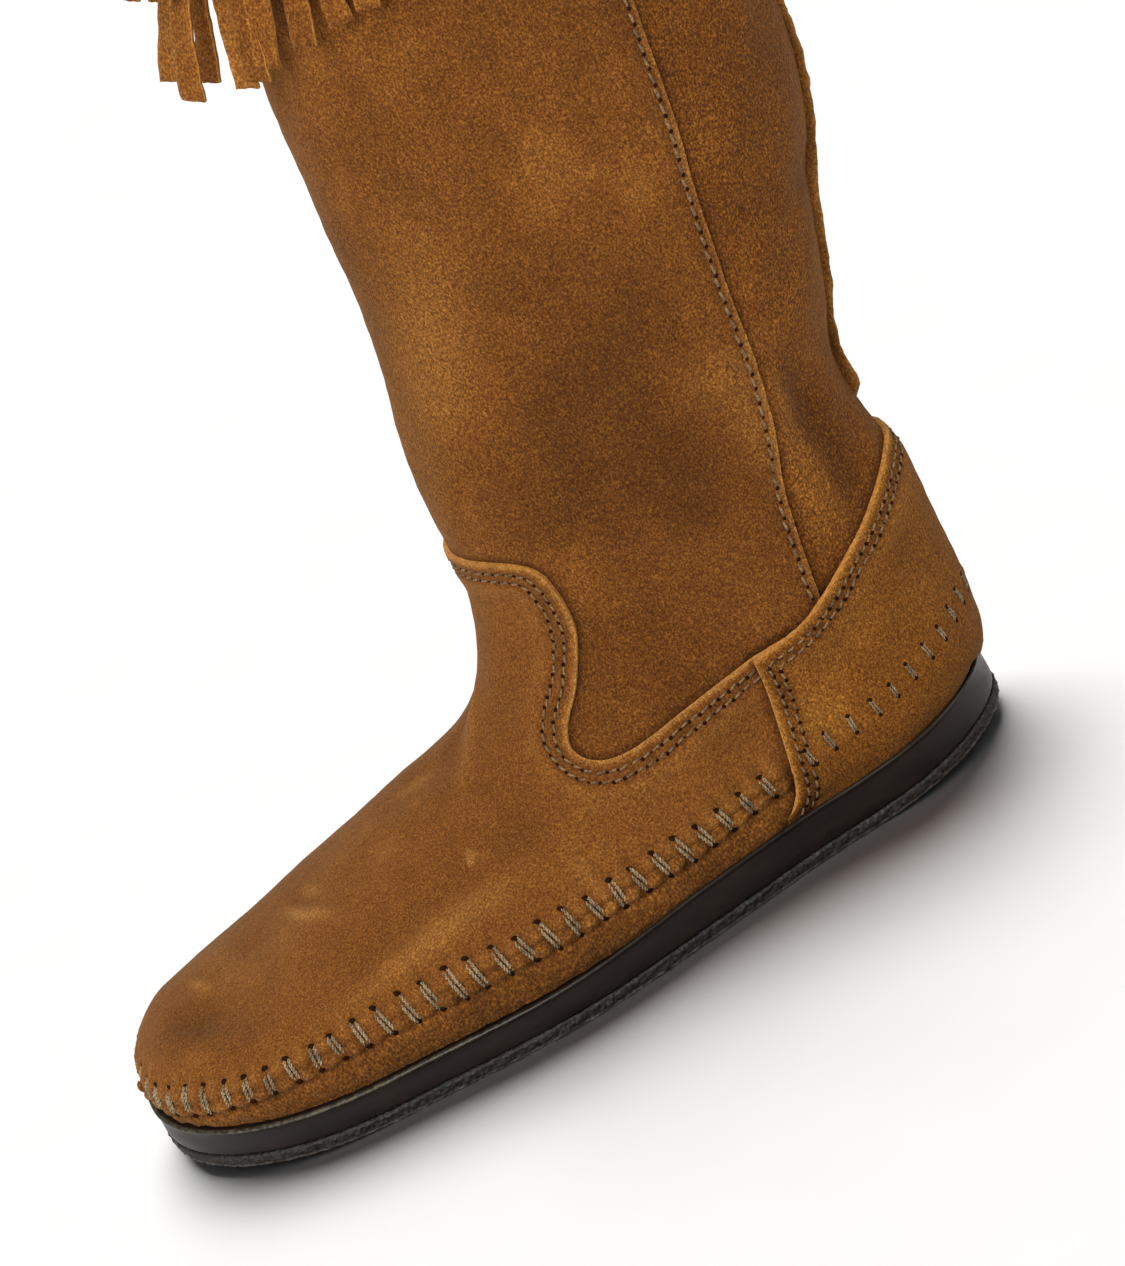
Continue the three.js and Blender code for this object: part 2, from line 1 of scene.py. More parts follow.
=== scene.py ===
"""A left-foot, knee-high moccasin boot in soft suede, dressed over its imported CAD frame.

Shapes are worked out in millimetres from the same section lines and seam lines as the CAD model, and
become metres when a mesh is made. The heel is towards +X, the outer side towards -Y, and +Z is up.
"""
import math

import bmesh
import bpy
import numpy as np
from mathutils import Matrix, Vector
from mathutils.bvhtree import BVHTree
from mathutils.kdtree import KDTree


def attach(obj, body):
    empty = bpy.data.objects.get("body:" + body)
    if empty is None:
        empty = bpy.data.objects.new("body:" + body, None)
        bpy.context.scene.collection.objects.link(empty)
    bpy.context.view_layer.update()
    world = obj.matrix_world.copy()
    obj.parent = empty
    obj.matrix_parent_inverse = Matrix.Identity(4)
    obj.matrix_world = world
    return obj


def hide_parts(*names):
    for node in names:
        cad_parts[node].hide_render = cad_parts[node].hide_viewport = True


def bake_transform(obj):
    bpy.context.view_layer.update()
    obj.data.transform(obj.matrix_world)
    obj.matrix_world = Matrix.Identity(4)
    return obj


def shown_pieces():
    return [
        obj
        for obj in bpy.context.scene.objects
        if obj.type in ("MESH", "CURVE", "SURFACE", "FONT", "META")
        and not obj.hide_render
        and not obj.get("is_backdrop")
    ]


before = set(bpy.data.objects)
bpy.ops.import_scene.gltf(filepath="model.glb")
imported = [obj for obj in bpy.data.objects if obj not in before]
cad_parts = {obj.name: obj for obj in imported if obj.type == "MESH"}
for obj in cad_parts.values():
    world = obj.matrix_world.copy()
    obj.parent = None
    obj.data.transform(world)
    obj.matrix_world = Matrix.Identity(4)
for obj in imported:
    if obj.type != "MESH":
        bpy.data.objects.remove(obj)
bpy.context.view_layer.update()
MM = 0.001

# ---- Driving dimensions, as in the CAD model ----
GAP = 0.3
TOE_X = -130.0
HEEL_X = 133.0
LIP_RISE = 2.4                   # the sole's edge is cupped up round the heel by this much
SOLE_THICK = 13.0
TOE_SPRING = 5.0
SPRING_START_X = -62.0
HEEL_SPRING = 4.5
HEEL_SPRING_X = 82.0
HEEL_SPRING_POWER = 1.3
BOARD_INSET = 6.5
FOOTBED_FOOT_Z = 15.6
FOOTBED_THICK = 4.0
TOP_Z = 420.0
STRAIGHT_Z = 256.0
FACING_HEIGHT = 26.0
FLANGE_STAND = 2.9               # the sewn layers lean over, so that they stand out less than they are wide
FLANGE_THICK = 1.4
FLANGE_FOOT_Z = 97.0
TIER_NAMES = ("top", "middle", "low")
SECTORS = 8
STRANDS = 6
TIER_PITCH = 30.0
HEADER_HEIGHT = 8.0
FRINGE_THICK = 1.4
FRINGE_LENGTH = 80.0             # at the shin
FRINGE_SIDE_LENGTH = 60.0        # round the sides and the back
ROOT_HEIGHT = 4.0
SLIT = 0.6
HANG_GAP = 0.6
FRINGE_CLEAR = 1.0

SKIN_FOOT_Z = SOLE_THICK + GAP
SECTION_FRONTS = (
    (-128.9, 23.6), (-127.8, 28.6), (-125.8, 32.4), (-122.5, 35.2), (-114.5, 39.3), (-102, 42),
    (-86, 45.2), (-66, 51.4), (-46, 57.7), (-28, 63.6), (-12.5, 67.6), (-3.4, 71.2), (3.4, 76),
    (8.5, 82), (12, 89), (14.6, 95), (16.4, 100.5), (17.6, 105), (18.1, 107.5), (18.8, 111.5),
    (19.3, 117), (19.3, 124), (19.6, 133), (20.6, 145), (23, 158), (26.4, 174), (29.4, 192),
    (31.2, 212), (33.2, 232), (35.5, STRAIGHT_Z),
)
SOLE_LINE = (-125.4, -122.4, -114.5, -102, -86, -66, -45, -25, -5, 15, 35, 56, 77, 97, 115, 126, 130.4)
SECTION_BACKS = (
    (-128.9, 16.8), (-127.6, 14), *((x, SKIN_FOOT_Z) for x in SOLE_LINE), (135.2, 19), (138, 33),
    (139.6, 52), (140.3, 74), (137.6, 96), (136.6, 118), (144, 139), (152.5, 163), (163, 190),
    (167.2, 214), (169, STRAIGHT_Z),
)
TOP_FRONT_X = 57.0
TOP_BACK_X = 188.0
SKIN_TOE_X = TOE_X + 1
HEEL_FOOT_X = 131.0
STRAIGHT_SHARE = 42 / 44         # share of the way to the top where the shaft becomes straight
FORE_END_SHARE = 0.28
LEG_START_SHARE = 0.62
FORE_CAP_START = 0.3
FORE_CAP_POWER = 2.15
LATERAL_WIDTHS = ((-130, 49), (-60, 50), (-8, 52), (38, 43.5), (75, 36), (133, 33))
MEDIAL_WIDTHS = ((-130, 43), (-60, 44), (-30, 42.5), (10, 31), (45, 26), (80, 29.5), (133, 32))
TOE_ROUND = 62.0
TOE_POWER = 2.3
TOE_TURN_Y = 5.0
HEEL_ROUND = 40.0
UPPER_INSET = 1.0
WALL_BULGE = 1.8
WALL_BULGE_HEIGHT = 30.0
LEG_WIDTHS = ((60, 35), (112, 40.5), (160, 44), (216, 47), (420, 48))
FOOT_TOP_Z = 32.0
LEG_FOOT_Z = 98.0
RIDGE_Y = 4.0

WHIP_SEAM = (
    (-140, 24), (-128, 25), (-105, 26.5), (-60, 29), (0, 28.5), (40, 27.8), (71, 29.5), (78, 30.3),
    (100, 32.5), (120, 36.5), (136, 39.5),
)
VAMP_TOP = (
    (5, 121.5), (20, 121), (32, 118.5), (38, 112), (38.5, 96), (31.5, 81), (23, 71), (21, 65),
    (26, 60.2), (36, 58.8), (54, 61), (75.6, 63.6),
)
COUNTER_FRONT = ((75.6, 63.6), (74.6, 50), (71, 33), (68.5, 23), (62.5, 16.5), (52, 11))
COUNTER_TOP = ((75.6, 63.6), (88, 64.6), (100, 69.5), (112, 75.5), (124, 81), (134, 87), (146, 94))
SIDE_SEAM = (
    (100, 69.5), (104, 97), (110, 122), (115.5, 147), (121.5, 186), (130, 234), (139, 300), (151, 424),
)
OUTSIDE = 220.0                  # well clear of the boot on every side

# ---- Making of the fine surface ----
ROW_STEP = 1.6                   # spacing of the skin's points, before the panels are cut from it
HALF_COLUMNS = 70
TOE_DOME = 1.2                   # how far the toe tip is rounded out
SUEDE = 1.9                      # thickness of a panel
UNDERLAP = 4.5                   # how far a panel runs on under the one sewn over it
LAP_FADE = 11.0                  # an upper panel settles back to the skin over this distance
EDGE_ROWS = (3.0, 5.6)           # distances of the double stitch rows from a panel's edge
SIDE_ROW = 2.5
WHIP_PITCH = 7.3
LINE_STEP = 0.5                  # spacing of the points of a seam line
TIP_ROWS = 5
WELDS_PER_MM = 50                # points that round to the same one of these steps are joined
CUT_SNAP = 0.06                  # a point this near a seam counts as inside, so that no sliver is cut off
VAMP_LAP = 1.75                  # how far each panel's edge stands up over the one under it
FRONT_LAP = 1.35
COUNTER_LAP = 1.5
COUNTER_CORNER_LAP = 1.5         # more at the counter's upper front corner, over the vamp
COUNTER_SIDE_LAP = 1.2           # and where the side seam runs under it
ROW_DEPTH = 0.62                 # furrow pressed in by a row of machine stitches
ROW_WIDTH = 0.95
RIM_DEPTH = 0.35                 # rounding of a cut edge
RIM_WIDTH = 0.9
WALL_CREASE = 4.6                # the gathered wall creases this far below the whip-stitched seam


# ---- Small helpers ----
def mix(a, b, t):
    return a + (b - a) * t


def ease(a, b, t):
    u = np.clip((np.asarray(t, float) - a) / (b - a), 0, 1)
    return u * u * (3 - 2 * u)


def bell(distance, width):
    return np.exp(-(np.asarray(distance, float) / width) ** 2)


def through(knots, at):
    """A smooth curve through (position, value) knots, read at many positions."""
    knots = np.asarray(knots, float)
    place, value = knots[:, 0], knots[:, 1]
    count = len(knots)
    before = np.maximum(np.arange(count) - 1, 0)
    after = np.minimum(np.arange(count) + 1, count - 1)
    slope = (value[after] - value[before]) / (place[after] - place[before])
    at = np.clip(np.asarray(at, float), place[0], place[-1])
    i = np.clip(np.searchsorted(place, at, side="right") - 1, 0, count - 2)
    span = place[i + 1] - place[i]
    t = (at - place[i]) / span
    t2, t3 = t * t, t * t * t
    return ((2 * t3 - 3 * t2 + 1) * value[i] + (t3 - 2 * t2 + t) * span * slope[i]
            + (3 * t2 - 2 * t3) * value[i + 1] + (t3 - t2) * span * slope[i + 1])


def spline(points, u):
    """A smooth curve through points, which it passes at even steps of u from 0 to 1."""
    points = np.asarray(points, float)
    last = len(points) - 1
    x = np.asarray(u, float) * last
    i = np.clip(np.floor(x).astype(int), 0, last - 1)
    w = (x - i)[:, None]
    p0, p1 = points[np.maximum(i - 1, 0)], points[i]
    p2, p3 = points[i + 1], points[np.minimum(i + 2, last)]
    v0, v1 = (p2 - p0) / 2, (p3 - p1) / 2
    return (2 * p1 - 2 * p2 + v0 + v1) * w ** 3 + (3 * p2 - 3 * p1 - 2 * v0 - v1) * w ** 2 + v0 * w + p1


def smooth_line(points, steps=160):
    return spline(points, np.linspace(0, 1, steps + 1))


def lumps(points, size, seed, waves=14):
    """Soft random unevenness between about -1 and 1, whose bumps are `size` mm apart."""
    rng = np.random.default_rng(seed)
    way = rng.normal(size=(waves, 3))
    way /= np.linalg.norm(way, axis=1)[:, None]
    pace = 2 * math.pi / size * rng.uniform(0.6, 1.4, waves)
    phase = rng.uniform(0, 2 * math.pi, waves)
    return np.cos((points @ way.T) * pace + phase).sum(1) / math.sqrt(waves)


def unit(vectors):
    return vectors / np.maximum(np.linalg.norm(vectors, axis=-1, keepdims=True), 1e-9)


def run_along(line):
    """The distance travelled along a line at each of its points."""
    return np.concatenate([[0], np.cumsum(np.linalg.norm(np.diff(line, axis=0), axis=1))])


def read_line(at, run, line):
    """The points of a line at given distances along it."""
    return np.stack([np.interp(at, run, line[:, k]) for k in range(line.shape[1])], -1)


def beside(points, centre, way):
    """How far points lie along a direction from a centre, and how far from that axis."""
    away = points - np.array(centre, float)
    way = unit(np.array(way, float))
    along = away @ way
    return along, np.linalg.norm(away - along[:, None] * way, axis=1)


# ---- Widths shared by the sole and the skin ----
def toe_factor(x, end):
    past = np.clip((end + TOE_ROUND - x) / TOE_ROUND, 0, 1)
    return (1 - past ** TOE_POWER) ** (1 / TOE_POWER)


def heel_factor(x, end, rounding):
    past = np.clip((x - (end - rounding)) / rounding, 0, 1)
    return np.sqrt(1 - past ** 2)


def toe_turn(x):
    return TOE_TURN_Y * ease(-20, TOE_X, x)


def spring_rise(x):
    """How far the sole lifts off the ground, at the toe and at the back of the heel."""
    toe = np.clip((SPRING_START_X - x) / (SPRING_START_X - TOE_X), 0, 1) ** 2
    heel = np.clip((x - HEEL_SPRING_X) / (HEEL_X - HEEL_SPRING_X), 0, 1) ** HEEL_SPRING_POWER
    return TOE_SPRING * toe + HEEL_SPRING * heel


def lip_rise(x):
    """How much higher the sole's edge stands round the heel than at the toe."""
    return LIP_RISE * ease(-25, 50, x)


def sole_half(side, x):
    return through(LATERAL_WIDTHS if side < 0 else MEDIAL_WIDTHS, x)


# ---- The boot's skin, as a fine triangle mesh ----
BACK_LINE = ([(SKIN_FOOT_Z, HEEL_FOOT_X)]
             + [(z, x) for x, z in SECTION_BACKS if z > SKIN_FOOT_Z and x > 0] + [(TOP_Z, TOP_BACK_X)])


def back_x(z):
    return through(BACK_LINE, z)


def skin_half(side, x, z, depth_half):
    bulge = WALL_BULGE * np.sin(np.pi * np.clip((z - SKIN_FOOT_Z) / WALL_BULGE_HEIGHT, 0, 1))
    low = sole_half(side, x) - UPPER_INSET + bulge
    wide = mix(low, through(LEG_WIDTHS, z), ease(FOOT_TOP_Z, LEG_FOOT_Z, z))
    rounding = mix(HEEL_ROUND, depth_half, ease(FOOT_TOP_Z, LEG_FOOT_Z + HEEL_ROUND, z))
    return wide * toe_factor(x, SKIN_TOE_X) * heel_factor(x, back_x(z), rounding)


def section_lines():
    """Front and back ends of evenly spaced sections, and each one's share of the way to the top."""
    fine = np.linspace(0, 1, 4001)
    fronts, backs = spline(SECTION_FRONTS, fine), spline(SECTION_BACKS, fine)
    travel = np.maximum(np.linalg.norm(np.diff(fronts, axis=0), axis=1),
                        np.linalg.norm(np.diff(backs, axis=0), axis=1))
    run = np.concatenate([[0], np.cumsum(travel)])
    u = np.interp(np.linspace(0, run[-1], int(run[-1] / ROW_STEP) + 1), run, fine)
    fronts, backs = spline(SECTION_FRONTS, u), spline(SECTION_BACKS, u)
    backs[:, 1] = np.maximum(backs[:, 1], SKIN_FOOT_Z)
    v = np.linspace(0, 1, int((TOP_Z - STRAIGHT_Z) / ROW_STEP) + 1)[1:, None]
    top_fronts = mix(fronts[-1], np.array([TOP_FRONT_X, TOP_Z]), v)
    top_backs = mix(backs[-1], np.array([TOP_BACK_X, TOP_Z]), v)
    shares = np.concatenate([u * STRAIGHT_SHARE, np.ones(len(v))])
    return np.vstack([fronts, top_fronts]), np.vstack([backs, top_backs]), shares


def side_points(side, fronts, backs, shares, t):
    """Points of one side of every section, from the sole or heel line up to the ridge."""
    chord = fronts - backs
    length = np.linalg.norm(chord, axis=1)[:, None]
    x = backs[:, :1] + chord[:, :1] * t
    z = backs[:, 1:] + chord[:, 1:] * t
    fore = (1 - ease(FORE_END_SHARE, LEG_START_SHARE, shares))[:, None]
    cap_start = mix(0.5, FORE_CAP_START, fore)
    cap_power = mix(2.0, FORE_CAP_POWER, fore)
    ridge = RIDGE_Y * fore * ease(0, FORE_END_SHARE, shares)[:, None]
    cap = (1 - np.clip((t - cap_start) / (1 - cap_start), 0, 1) ** cap_power) ** (1 / cap_power)
    straight = shares[:, None] >= STRAIGHT_SHARE
    foot = np.where(straight, np.sqrt(1 - np.clip((cap_start - t) / cap_start, 0, 1) ** 2), 1.0)
    half = np.where(straight, through(LEG_WIDTHS, z), skin_half(side, x, z, length / 2))
    y = toe_turn(backs[:, :1]) + ridge + side * (half - side * ridge) * cap * foot
    on_sole = 1 - ease(SKIN_FOOT_Z, SKIN_FOOT_Z + 6, backs[:, 1:])
    lift = spring_rise(backs[:, :1]) * on_sole * (1 - t)
    return np.stack([x, y, z + lift], -1)


def triangles_of(rows, columns):
    """Triangles of a grid of points, row by row."""
    index = np.arange(rows * columns).reshape(rows, columns)
    a, b = index[:-1, :-1].ravel(), index[:-1, 1:].ravel()
    c, d = index[1:, 1:].ravel(), index[1:, :-1].ravel()
    return np.concatenate([np.stack([a, c, b], 1), np.stack([a, d, c], 1)])


def welded(points, faces):
    """The same mesh with doubled points joined and collapsed faces dropped."""
    keys = np.round(points * WELDS_PER_MM).astype(np.int64)
    _, first, same = np.unique(keys, axis=0, return_index=True, return_inverse=True)
    faces = same.ravel()[faces]
    whole = (faces[:, 0] != faces[:, 1]) & (faces[:, 1] != faces[:, 2]) & (faces[:, 2] != faces[:, 0])
    return points[first], faces[whole]


def point_normals(points, faces):
    corners = points[faces]
    across = np.cross(corners[:, 1] - corners[:, 0], corners[:, 2] - corners[:, 0])
    normals = np.zeros_like(points)
    for k in range(3):
        np.add.at(normals, faces[:, k], across)
    return unit(normals)


def make_skin():
    fronts, backs, shares = section_lines()
    t = (1 - np.cos(np.linspace(0, np.pi, HALF_COLUMNS + 1))) / 2
    outer = side_points(-1, fronts, backs, shares, t[None])
    inner = side_points(1, fronts, backs, shares, t[None])
    heel = (backs[:, 0] > 0) & (backs[:, 1] > SKIN_FOOT_Z + GAP)
    back_line = (outer[heel, 0] + inner[heel, 0]) / 2
    outer[heel, 0] = back_line
    inner[heel, 0] = back_line
    rings = np.concatenate([outer, inner[:, -2::-1]], axis=1)
    centre = rings[0].mean(0)
    tip = []
    for k in range(TIP_ROWS, 0, -1):
        angle = k / TIP_ROWS * math.pi / 2
        tip.append(centre + (rings[0] - centre) * math.cos(angle) - [TOE_DOME * math.sin(angle), 0, 0])
    rings = np.concatenate([np.array(tip), rings])
    points, faces = welded(rings.reshape(-1, 3), triangles_of(*rings.shape[:2]))
    return points, faces, point_normals(points, faces)


SKIN_POINTS, SKIN_FACES, SKIN_NORMALS = make_skin()
SKIN_DATA = np.hstack([SKIN_POINTS, SKIN_NORMALS])


# ---- Seam fields: signed side-view distances, positive inside a zone ----
def inside_distance(outline, x, z):
    """Distance to a closed side-view outline, positive inside it."""
    a = np.asarray(outline, float)
    b = np.roll(a, -1, axis=0)
    nearest = np.full(x.shape, 1e9)
    crossings = np.zeros(x.shape, int)
    for (ax, az), (bx, bz) in zip(a, b):
        ex, ez = bx - ax, bz - az
        share = np.clip(((x - ax) * ex + (z - az) * ez) / max(ex * ex + ez * ez, 1e-9), 0, 1)
        nearest = np.minimum(nearest, np.hypot(x - ax - share * ex, z - az - share * ez))
        if az != bz:
            spans = (az > z) != (bz > z)
            crossings += spans & (x < ax + (z - az) / (bz - az) * ex)
    return np.where(crossings % 2 == 1, nearest, -nearest)


VAMP_OUTLINE = np.vstack([[(-OUTSIDE, VAMP_TOP[0][1])], smooth_line(VAMP_TOP),
                          [(OUTSIDE, VAMP_TOP[-1][1] + 6), (OUTSIDE, -OUTSIDE), (-OUTSIDE, -OUTSIDE)]])
COUNTER_OUTLINE = np.vstack([smooth_line(COUNTER_FRONT, 60)[::-1], smooth_line(COUNTER_TOP, 80)[1:],
                             [(OUTSIDE, COUNTER_TOP[-1][1]), (OUTSIDE, -OUTSIDE),
                              (COUNTER_FRONT[-1][0], -OUTSIDE)]])
SIDE_LINE = smooth_line(SIDE_SEAM)


def whip_field(p):
    return p[:, 2] - through(WHIP_SEAM, p[:, 0])


def vamp_field(p):
    return inside_distance(VAMP_OUTLINE, p[:, 0], p[:, 2])


def counter_field(p):
    return inside_distance(COUNTER_OUTLINE, p[:, 0], p[:, 2])


def front_field(p):
    """Positive in front of the side seam; below the seam's foot it goes on straight down."""
    return np.interp(p[:, 2], SIDE_LINE[:, 1], SIDE_LINE[:, 0]) - p[:, 0]


WHIP = whip_field(SKIN_POINTS)
VAMP = vamp_field(SKIN_POINTS)
COUNTER = counter_field(SKIN_POINTS)
FRONT = front_field(SKIN_POINTS)


def crossing(field, a, b):
    return field[a] / (field[a] - field[b])


def clip(data, faces, field):
    """The part of a triangle mesh where the field is positive, cut cleanly along its zero line."""
    field = np.where(np.abs(field) < CUT_SNAP, CUT_SNAP, field)
    keep = field > 0
    inside = keep[faces].sum(1)
    cuts = {}
    rows = []
    made = faces[inside == 3].tolist()

    def cut(a, b):
        key = (min(a, b), max(a, b))
        if key not in cuts:
            cuts[key] = len(data) + len(rows)
            rows.append(mix(data[key[0]], data[key[1]], crossing(field, *key)))
        return cuts[key]

    for face in faces[(inside == 1) | (inside == 2)].tolist():
        loop = []
        for a, b in zip(face, face[1:] + face[:1]):
            if keep[a]:
                loop.append(a)
            if keep[a] != keep[b]:
                loop.append(cut(a, b))
        made.append(loop[:3])
        if len(loop) == 4:
            made.append([loop[0], loop[2], loop[3]])
    data = np.vstack([data, np.array(rows)]) if rows else data
    used, faces = np.unique(np.array(made), return_inverse=True)
    return data[used], faces.reshape(-1, 3)


def zero_line(field, wanted=None):
    """The longest line on the skin where a field is zero: its evenly spaced points and skin normals."""
    keep = field > 0
    inside = keep[SKIN_FACES].sum(1)
    links = {}
    for face in SKIN_FACES[(inside == 1) | (inside == 2)].tolist():
        ends = [(min(a, b), max(a, b)) for a, b in zip(face, face[1:] + face[:1]) if keep[a] != keep[b]]
        links.setdefault(ends[0], []).append(ends[1])
        links.setdefault(ends[1], []).append(ends[0])
    rows = {key: mix(SKIN_DATA[key[0]], SKIN_DATA[key[1]], crossing(field, *key)) for key in links}
    if wanted is not None:
        rows = {key: row for key, row in rows.items() if wanted(row[None, :3])[0]}
    longest = []
    left = set(rows)
    while left:
        ends = [key for key in left if sum(n in rows for n in links[key]) == 1]
        key = min(ends) if ends else min(left)
        chain = []
        while key is not None:
            chain.append(key)
            left.discard(key)
            key = next((n for n in links[key] if n in left), None)
        longest = max(longest, chain, key=len)
    line = np.array([rows[key] for key in longest])
    run = run_along(line[:, :3])
    line = read_line(np.arange(0, run[-1], LINE_STEP), run, line)
    for _ in range(4):
        line[1:-1] = (line[:-2] + 2 * line[1:-1] + line[2:]) / 4
    return line[:, :3], unit(line[:, 3:])


def nearest_on(line, points, reach):
    """Distance from each point to a line, and the nearest place along it. Far points are left out."""
    tree = KDTree(len(line))
    for i, p in enumerate(line):
        tree.insert(p, i)
    tree.balance()
    run = run_along(line)
    distance = np.full(len(points), 1e3)
    place = np.zeros(len(points))
    low, high = line.min(0) - reach, line.max(0) + reach
    close = np.all((points > low) & (points < high), axis=1)
    for i in np.nonzero(close)[0]:
        _, k, d = tree.find(points[i])
        distance[i] = d
        place[i] = run[k]
    return distance, place


WHIP_LINE, WHIP_NORMALS = zero_line(WHIP)
WHIP_LENGTH = np.linalg.norm(np.diff(WHIP_LINE, axis=0), axis=1).sum()
WHIP_COUNT = round(WHIP_LENGTH / WHIP_PITCH)
WHIP_STEP = WHIP_LENGTH / WHIP_COUNT


# ---- Relief of the upper ----
# Soft creases: centre, direction, half length, half width, depth (negative for a ridge) in mm.
CREASES = (
    ((-70, -8, 51), (0.45, -0.88, 0.05), 15, 1.9, -0.75),
    ((-61, -14, 51), (0.5, -0.85, 0.05), 12, 1.7, -0.5),
    ((-66, -4, 52), (0.45, -0.88, 0.05), 14, 3.0, 0.6),
    ((-84, -2, 48), (0.3, -0.9, 0.1), 15, 3.4, 0.6),
    ((-32, -44, 42), (0.95, -0.05, 0.2), 34, 4.6, -1.5),
    ((-40, -38, 48), (0.95, -0.02, 0.25), 32, 5.5, 1.0),
    ((-40, -48, 34), (0.95, 0.0, 0.05), 34, 3.6, 0.8),
    ((-104, -13, 40), (0.5, -0.8, 0), 15, 6.0, 1.7),
    ((-92, 6, 44), (0.3, -0.9, 0), 14, 5.0, -0.7),
    ((2, 0, 75), (0.55, 0.55, 0.62), 11, 2.6, -1.1),
    ((-6, -11, 68.5), (0.62, 0.62, 0.4), 9, 2.4, -0.9),
    ((-4, 3, 71), (0.6, 0.5, 0.6), 12, 3.0, 0.8),
    ((0, -40, 58), (0.6, 0.1, 0.8), 26, 8.0, 1.2),
    ((14, -20, 84), (0.2, -0.2, 0.95), 22, 6.0, 1.1),
    ((80, -41, 126), (0.15, 0.0, -1.0), 24, 11.0, 1.6),
    ((52, -38, 138), (0.7, 0.1, 0.7), 22, 8.0, 1.0),
    ((112, -35, 112), (0.05, 0.05, -1.0), 28, 8.0, -1.8),
    ((122, -26, 108), (0.05, 0.1, -1.0), 22, 4.5, 1.8),
    ((112, -30, 146), (-0.8, -0.4, -0.1), 30, 8.0, -1.0),
    ((148, -14, 172), (-0.6, -0.7, 0.3), 26, 7.0, 1.4),
    ((138, -20, 196), (-0.5, -0.8, 0.5), 28, 8.0, -1.1),
    ((60, -42, 150), (0.8, 0, 0.5), 40, 16.0, 1.3),
    ((40, -30, 190), (0.3, -0.3, 0.9), 40, 14.0, -1.0),
    ((0, 30, 60), (0.6, 0.1, 0.8), 28, 8.0, 1.1),
    ((118, 22, 130), (-0.75, 0.45, -0.3), 30, 8.0, 1.5),
    ((-50, 34, 44), (0.9, 0.2, 0.2), 30, 6.0, 0.9),
    ((60, 42, 160), (0.8, 0, -0.5), 40, 14.0, 1.2),
)


def crease_relief(p):
    total = np.zeros(len(p))
    for centre, way, half_length, half_width, depth in CREASES:
        along, across = beside(p, centre, way)
        bend = 0.10 * half_width * np.sin(along / half_width)
        total -= depth * bell(along, half_length) * bell(across + bend, half_width)
    return total


def skin_relief(p):
    """Slow unevenness of soft suede, stronger round the ankle where it folds."""
    ankle = bell(p[:, 2] - 130, 60) * ease(40, 110, p[:, 0])
    calm = ease(13, 30, p[:, 2])
    slow = 0.45 * lumps(p * [1, 1, 0.7], size=62, seed=3) + 0.22 * lumps(p, size=24, seed=5)
    small = 0.07 * lumps(p, size=7, seed=9)
    return calm * slow * (1 + 0.9 * ankle) + small


SEAM_DISTANCE, SEAM_PLACE = nearest_on(WHIP_LINE, SKIN_POINTS, 14)
SEAM_SIGNED = np.where(WHIP > 0, SEAM_DISTANCE, -SEAM_DISTANCE)
SEAM_PULL = np.cos(2 * np.pi * SEAM_PLACE / WHIP_STEP)      # 1 at each stitch, -1 halfway between two

# The numbers that every point of a panel carries with it, column by column.
SKIN_TABLE = np.column_stack([SKIN_DATA, SEAM_SIGNED, SEAM_PULL, VAMP, COUNTER, FRONT])
PLACE, NORMAL = slice(0, 3), slice(3, 6)
SEAM, PULL, IN_VAMP, IN_COUNTER, IN_FRONT = 6, 7, 8, 9, 10


def lap(distance, height):
    """Rise of a panel whose edge lies on its neighbour: full at the edge, settling further in."""
    return height * (1 - ease(UNDERLAP, UNDERLAP + LAP_FADE, distance))


def rows_relief(distance):
    """Furrows that two rows of stitching press along a panel's edge."""
    return -ROW_DEPTH * sum(bell(distance - row, ROW_WIDTH) for row in EDGE_ROWS)


def rim_round(distance):
    return -RIM_DEPTH * bell(distance, RIM_WIDTH)


def above_sole(q):
    return q[:, 2] - SKIN_FOOT_Z - spring_rise(q[:, 0])


def foot_tuck(q):
    """The suede draws in where it goes down behind the sole's edge."""
    return -0.7 * bell(above_sole(q), 1.6)


def seam_swell(q):
    """Both sides puff up next to the whip-stitched seam and dip into it."""
    return 1.2 * bell(q[:, SEAM], 3.6) - 1.2 * bell(q[:, SEAM], 1.1)


def wall_outward(q):
    gathered = 1 - ease(40, 75, q[:, 0]) * 0.4
    crease = -0.8 * bell(q[:, SEAM] + WALL_CREASE, 0.9)
    folds = -q[:, PULL] * 0.8 * gathered * bell(q[:, SEAM] + 3.6, 4.2)
    rough = 0.16 * lumps(q[:, PLACE], size=3.4, seed=21)
    return foot_tuck(q) + seam_swell(q) + crease + folds + rough


def vamp_outward(q):
    folds = -q[:, PULL] * 0.6 * bell(q[:, SEAM] - 4.0, 3.8)
    top = q[:, IN_VAMP]
    return seam_swell(q) + folds + lap(top, VAMP_LAP) + rows_relief(top) + rim_round(top)


def counter_outward(q):
    edge = q[:, IN_COUNTER]
    corner_x, corner_z = COUNTER_TOP[0]
    at_corner = bell(np.hypot(q[:, 0] - corner_x, q[:, 2] - corner_z), 12)
    at_side = bell(np.hypot(q[:, 0] - SIDE_SEAM[0][0], q[:, 2] - SIDE_SEAM[0][1]), 10)
    dimples = -q[:, PULL] * 0.25 * bell(q[:, SEAM], 4.0)
    settle = 0.5
    over_lip = ease(0, 5, above_sole(q) - lip_rise(q[:, 0]))
    height = COUNTER_LAP + COUNTER_CORNER_LAP * at_corner + COUNTER_SIDE_LAP * at_side
    return ((settle + lap(edge, height)) * over_lip + rows_relief(edge) + rim_round(edge) + dimples
            + foot_tuck(q))


def front_outward(q):
    edge = q[:, IN_FRONT]
    furrow = -0.4 * bell(edge - SIDE_ROW, ROW_WIDTH)
    return lap(edge, FRONT_LAP) + furrow + rim_round(edge)


def back_outward(q):
    return np.zeros(len(q))


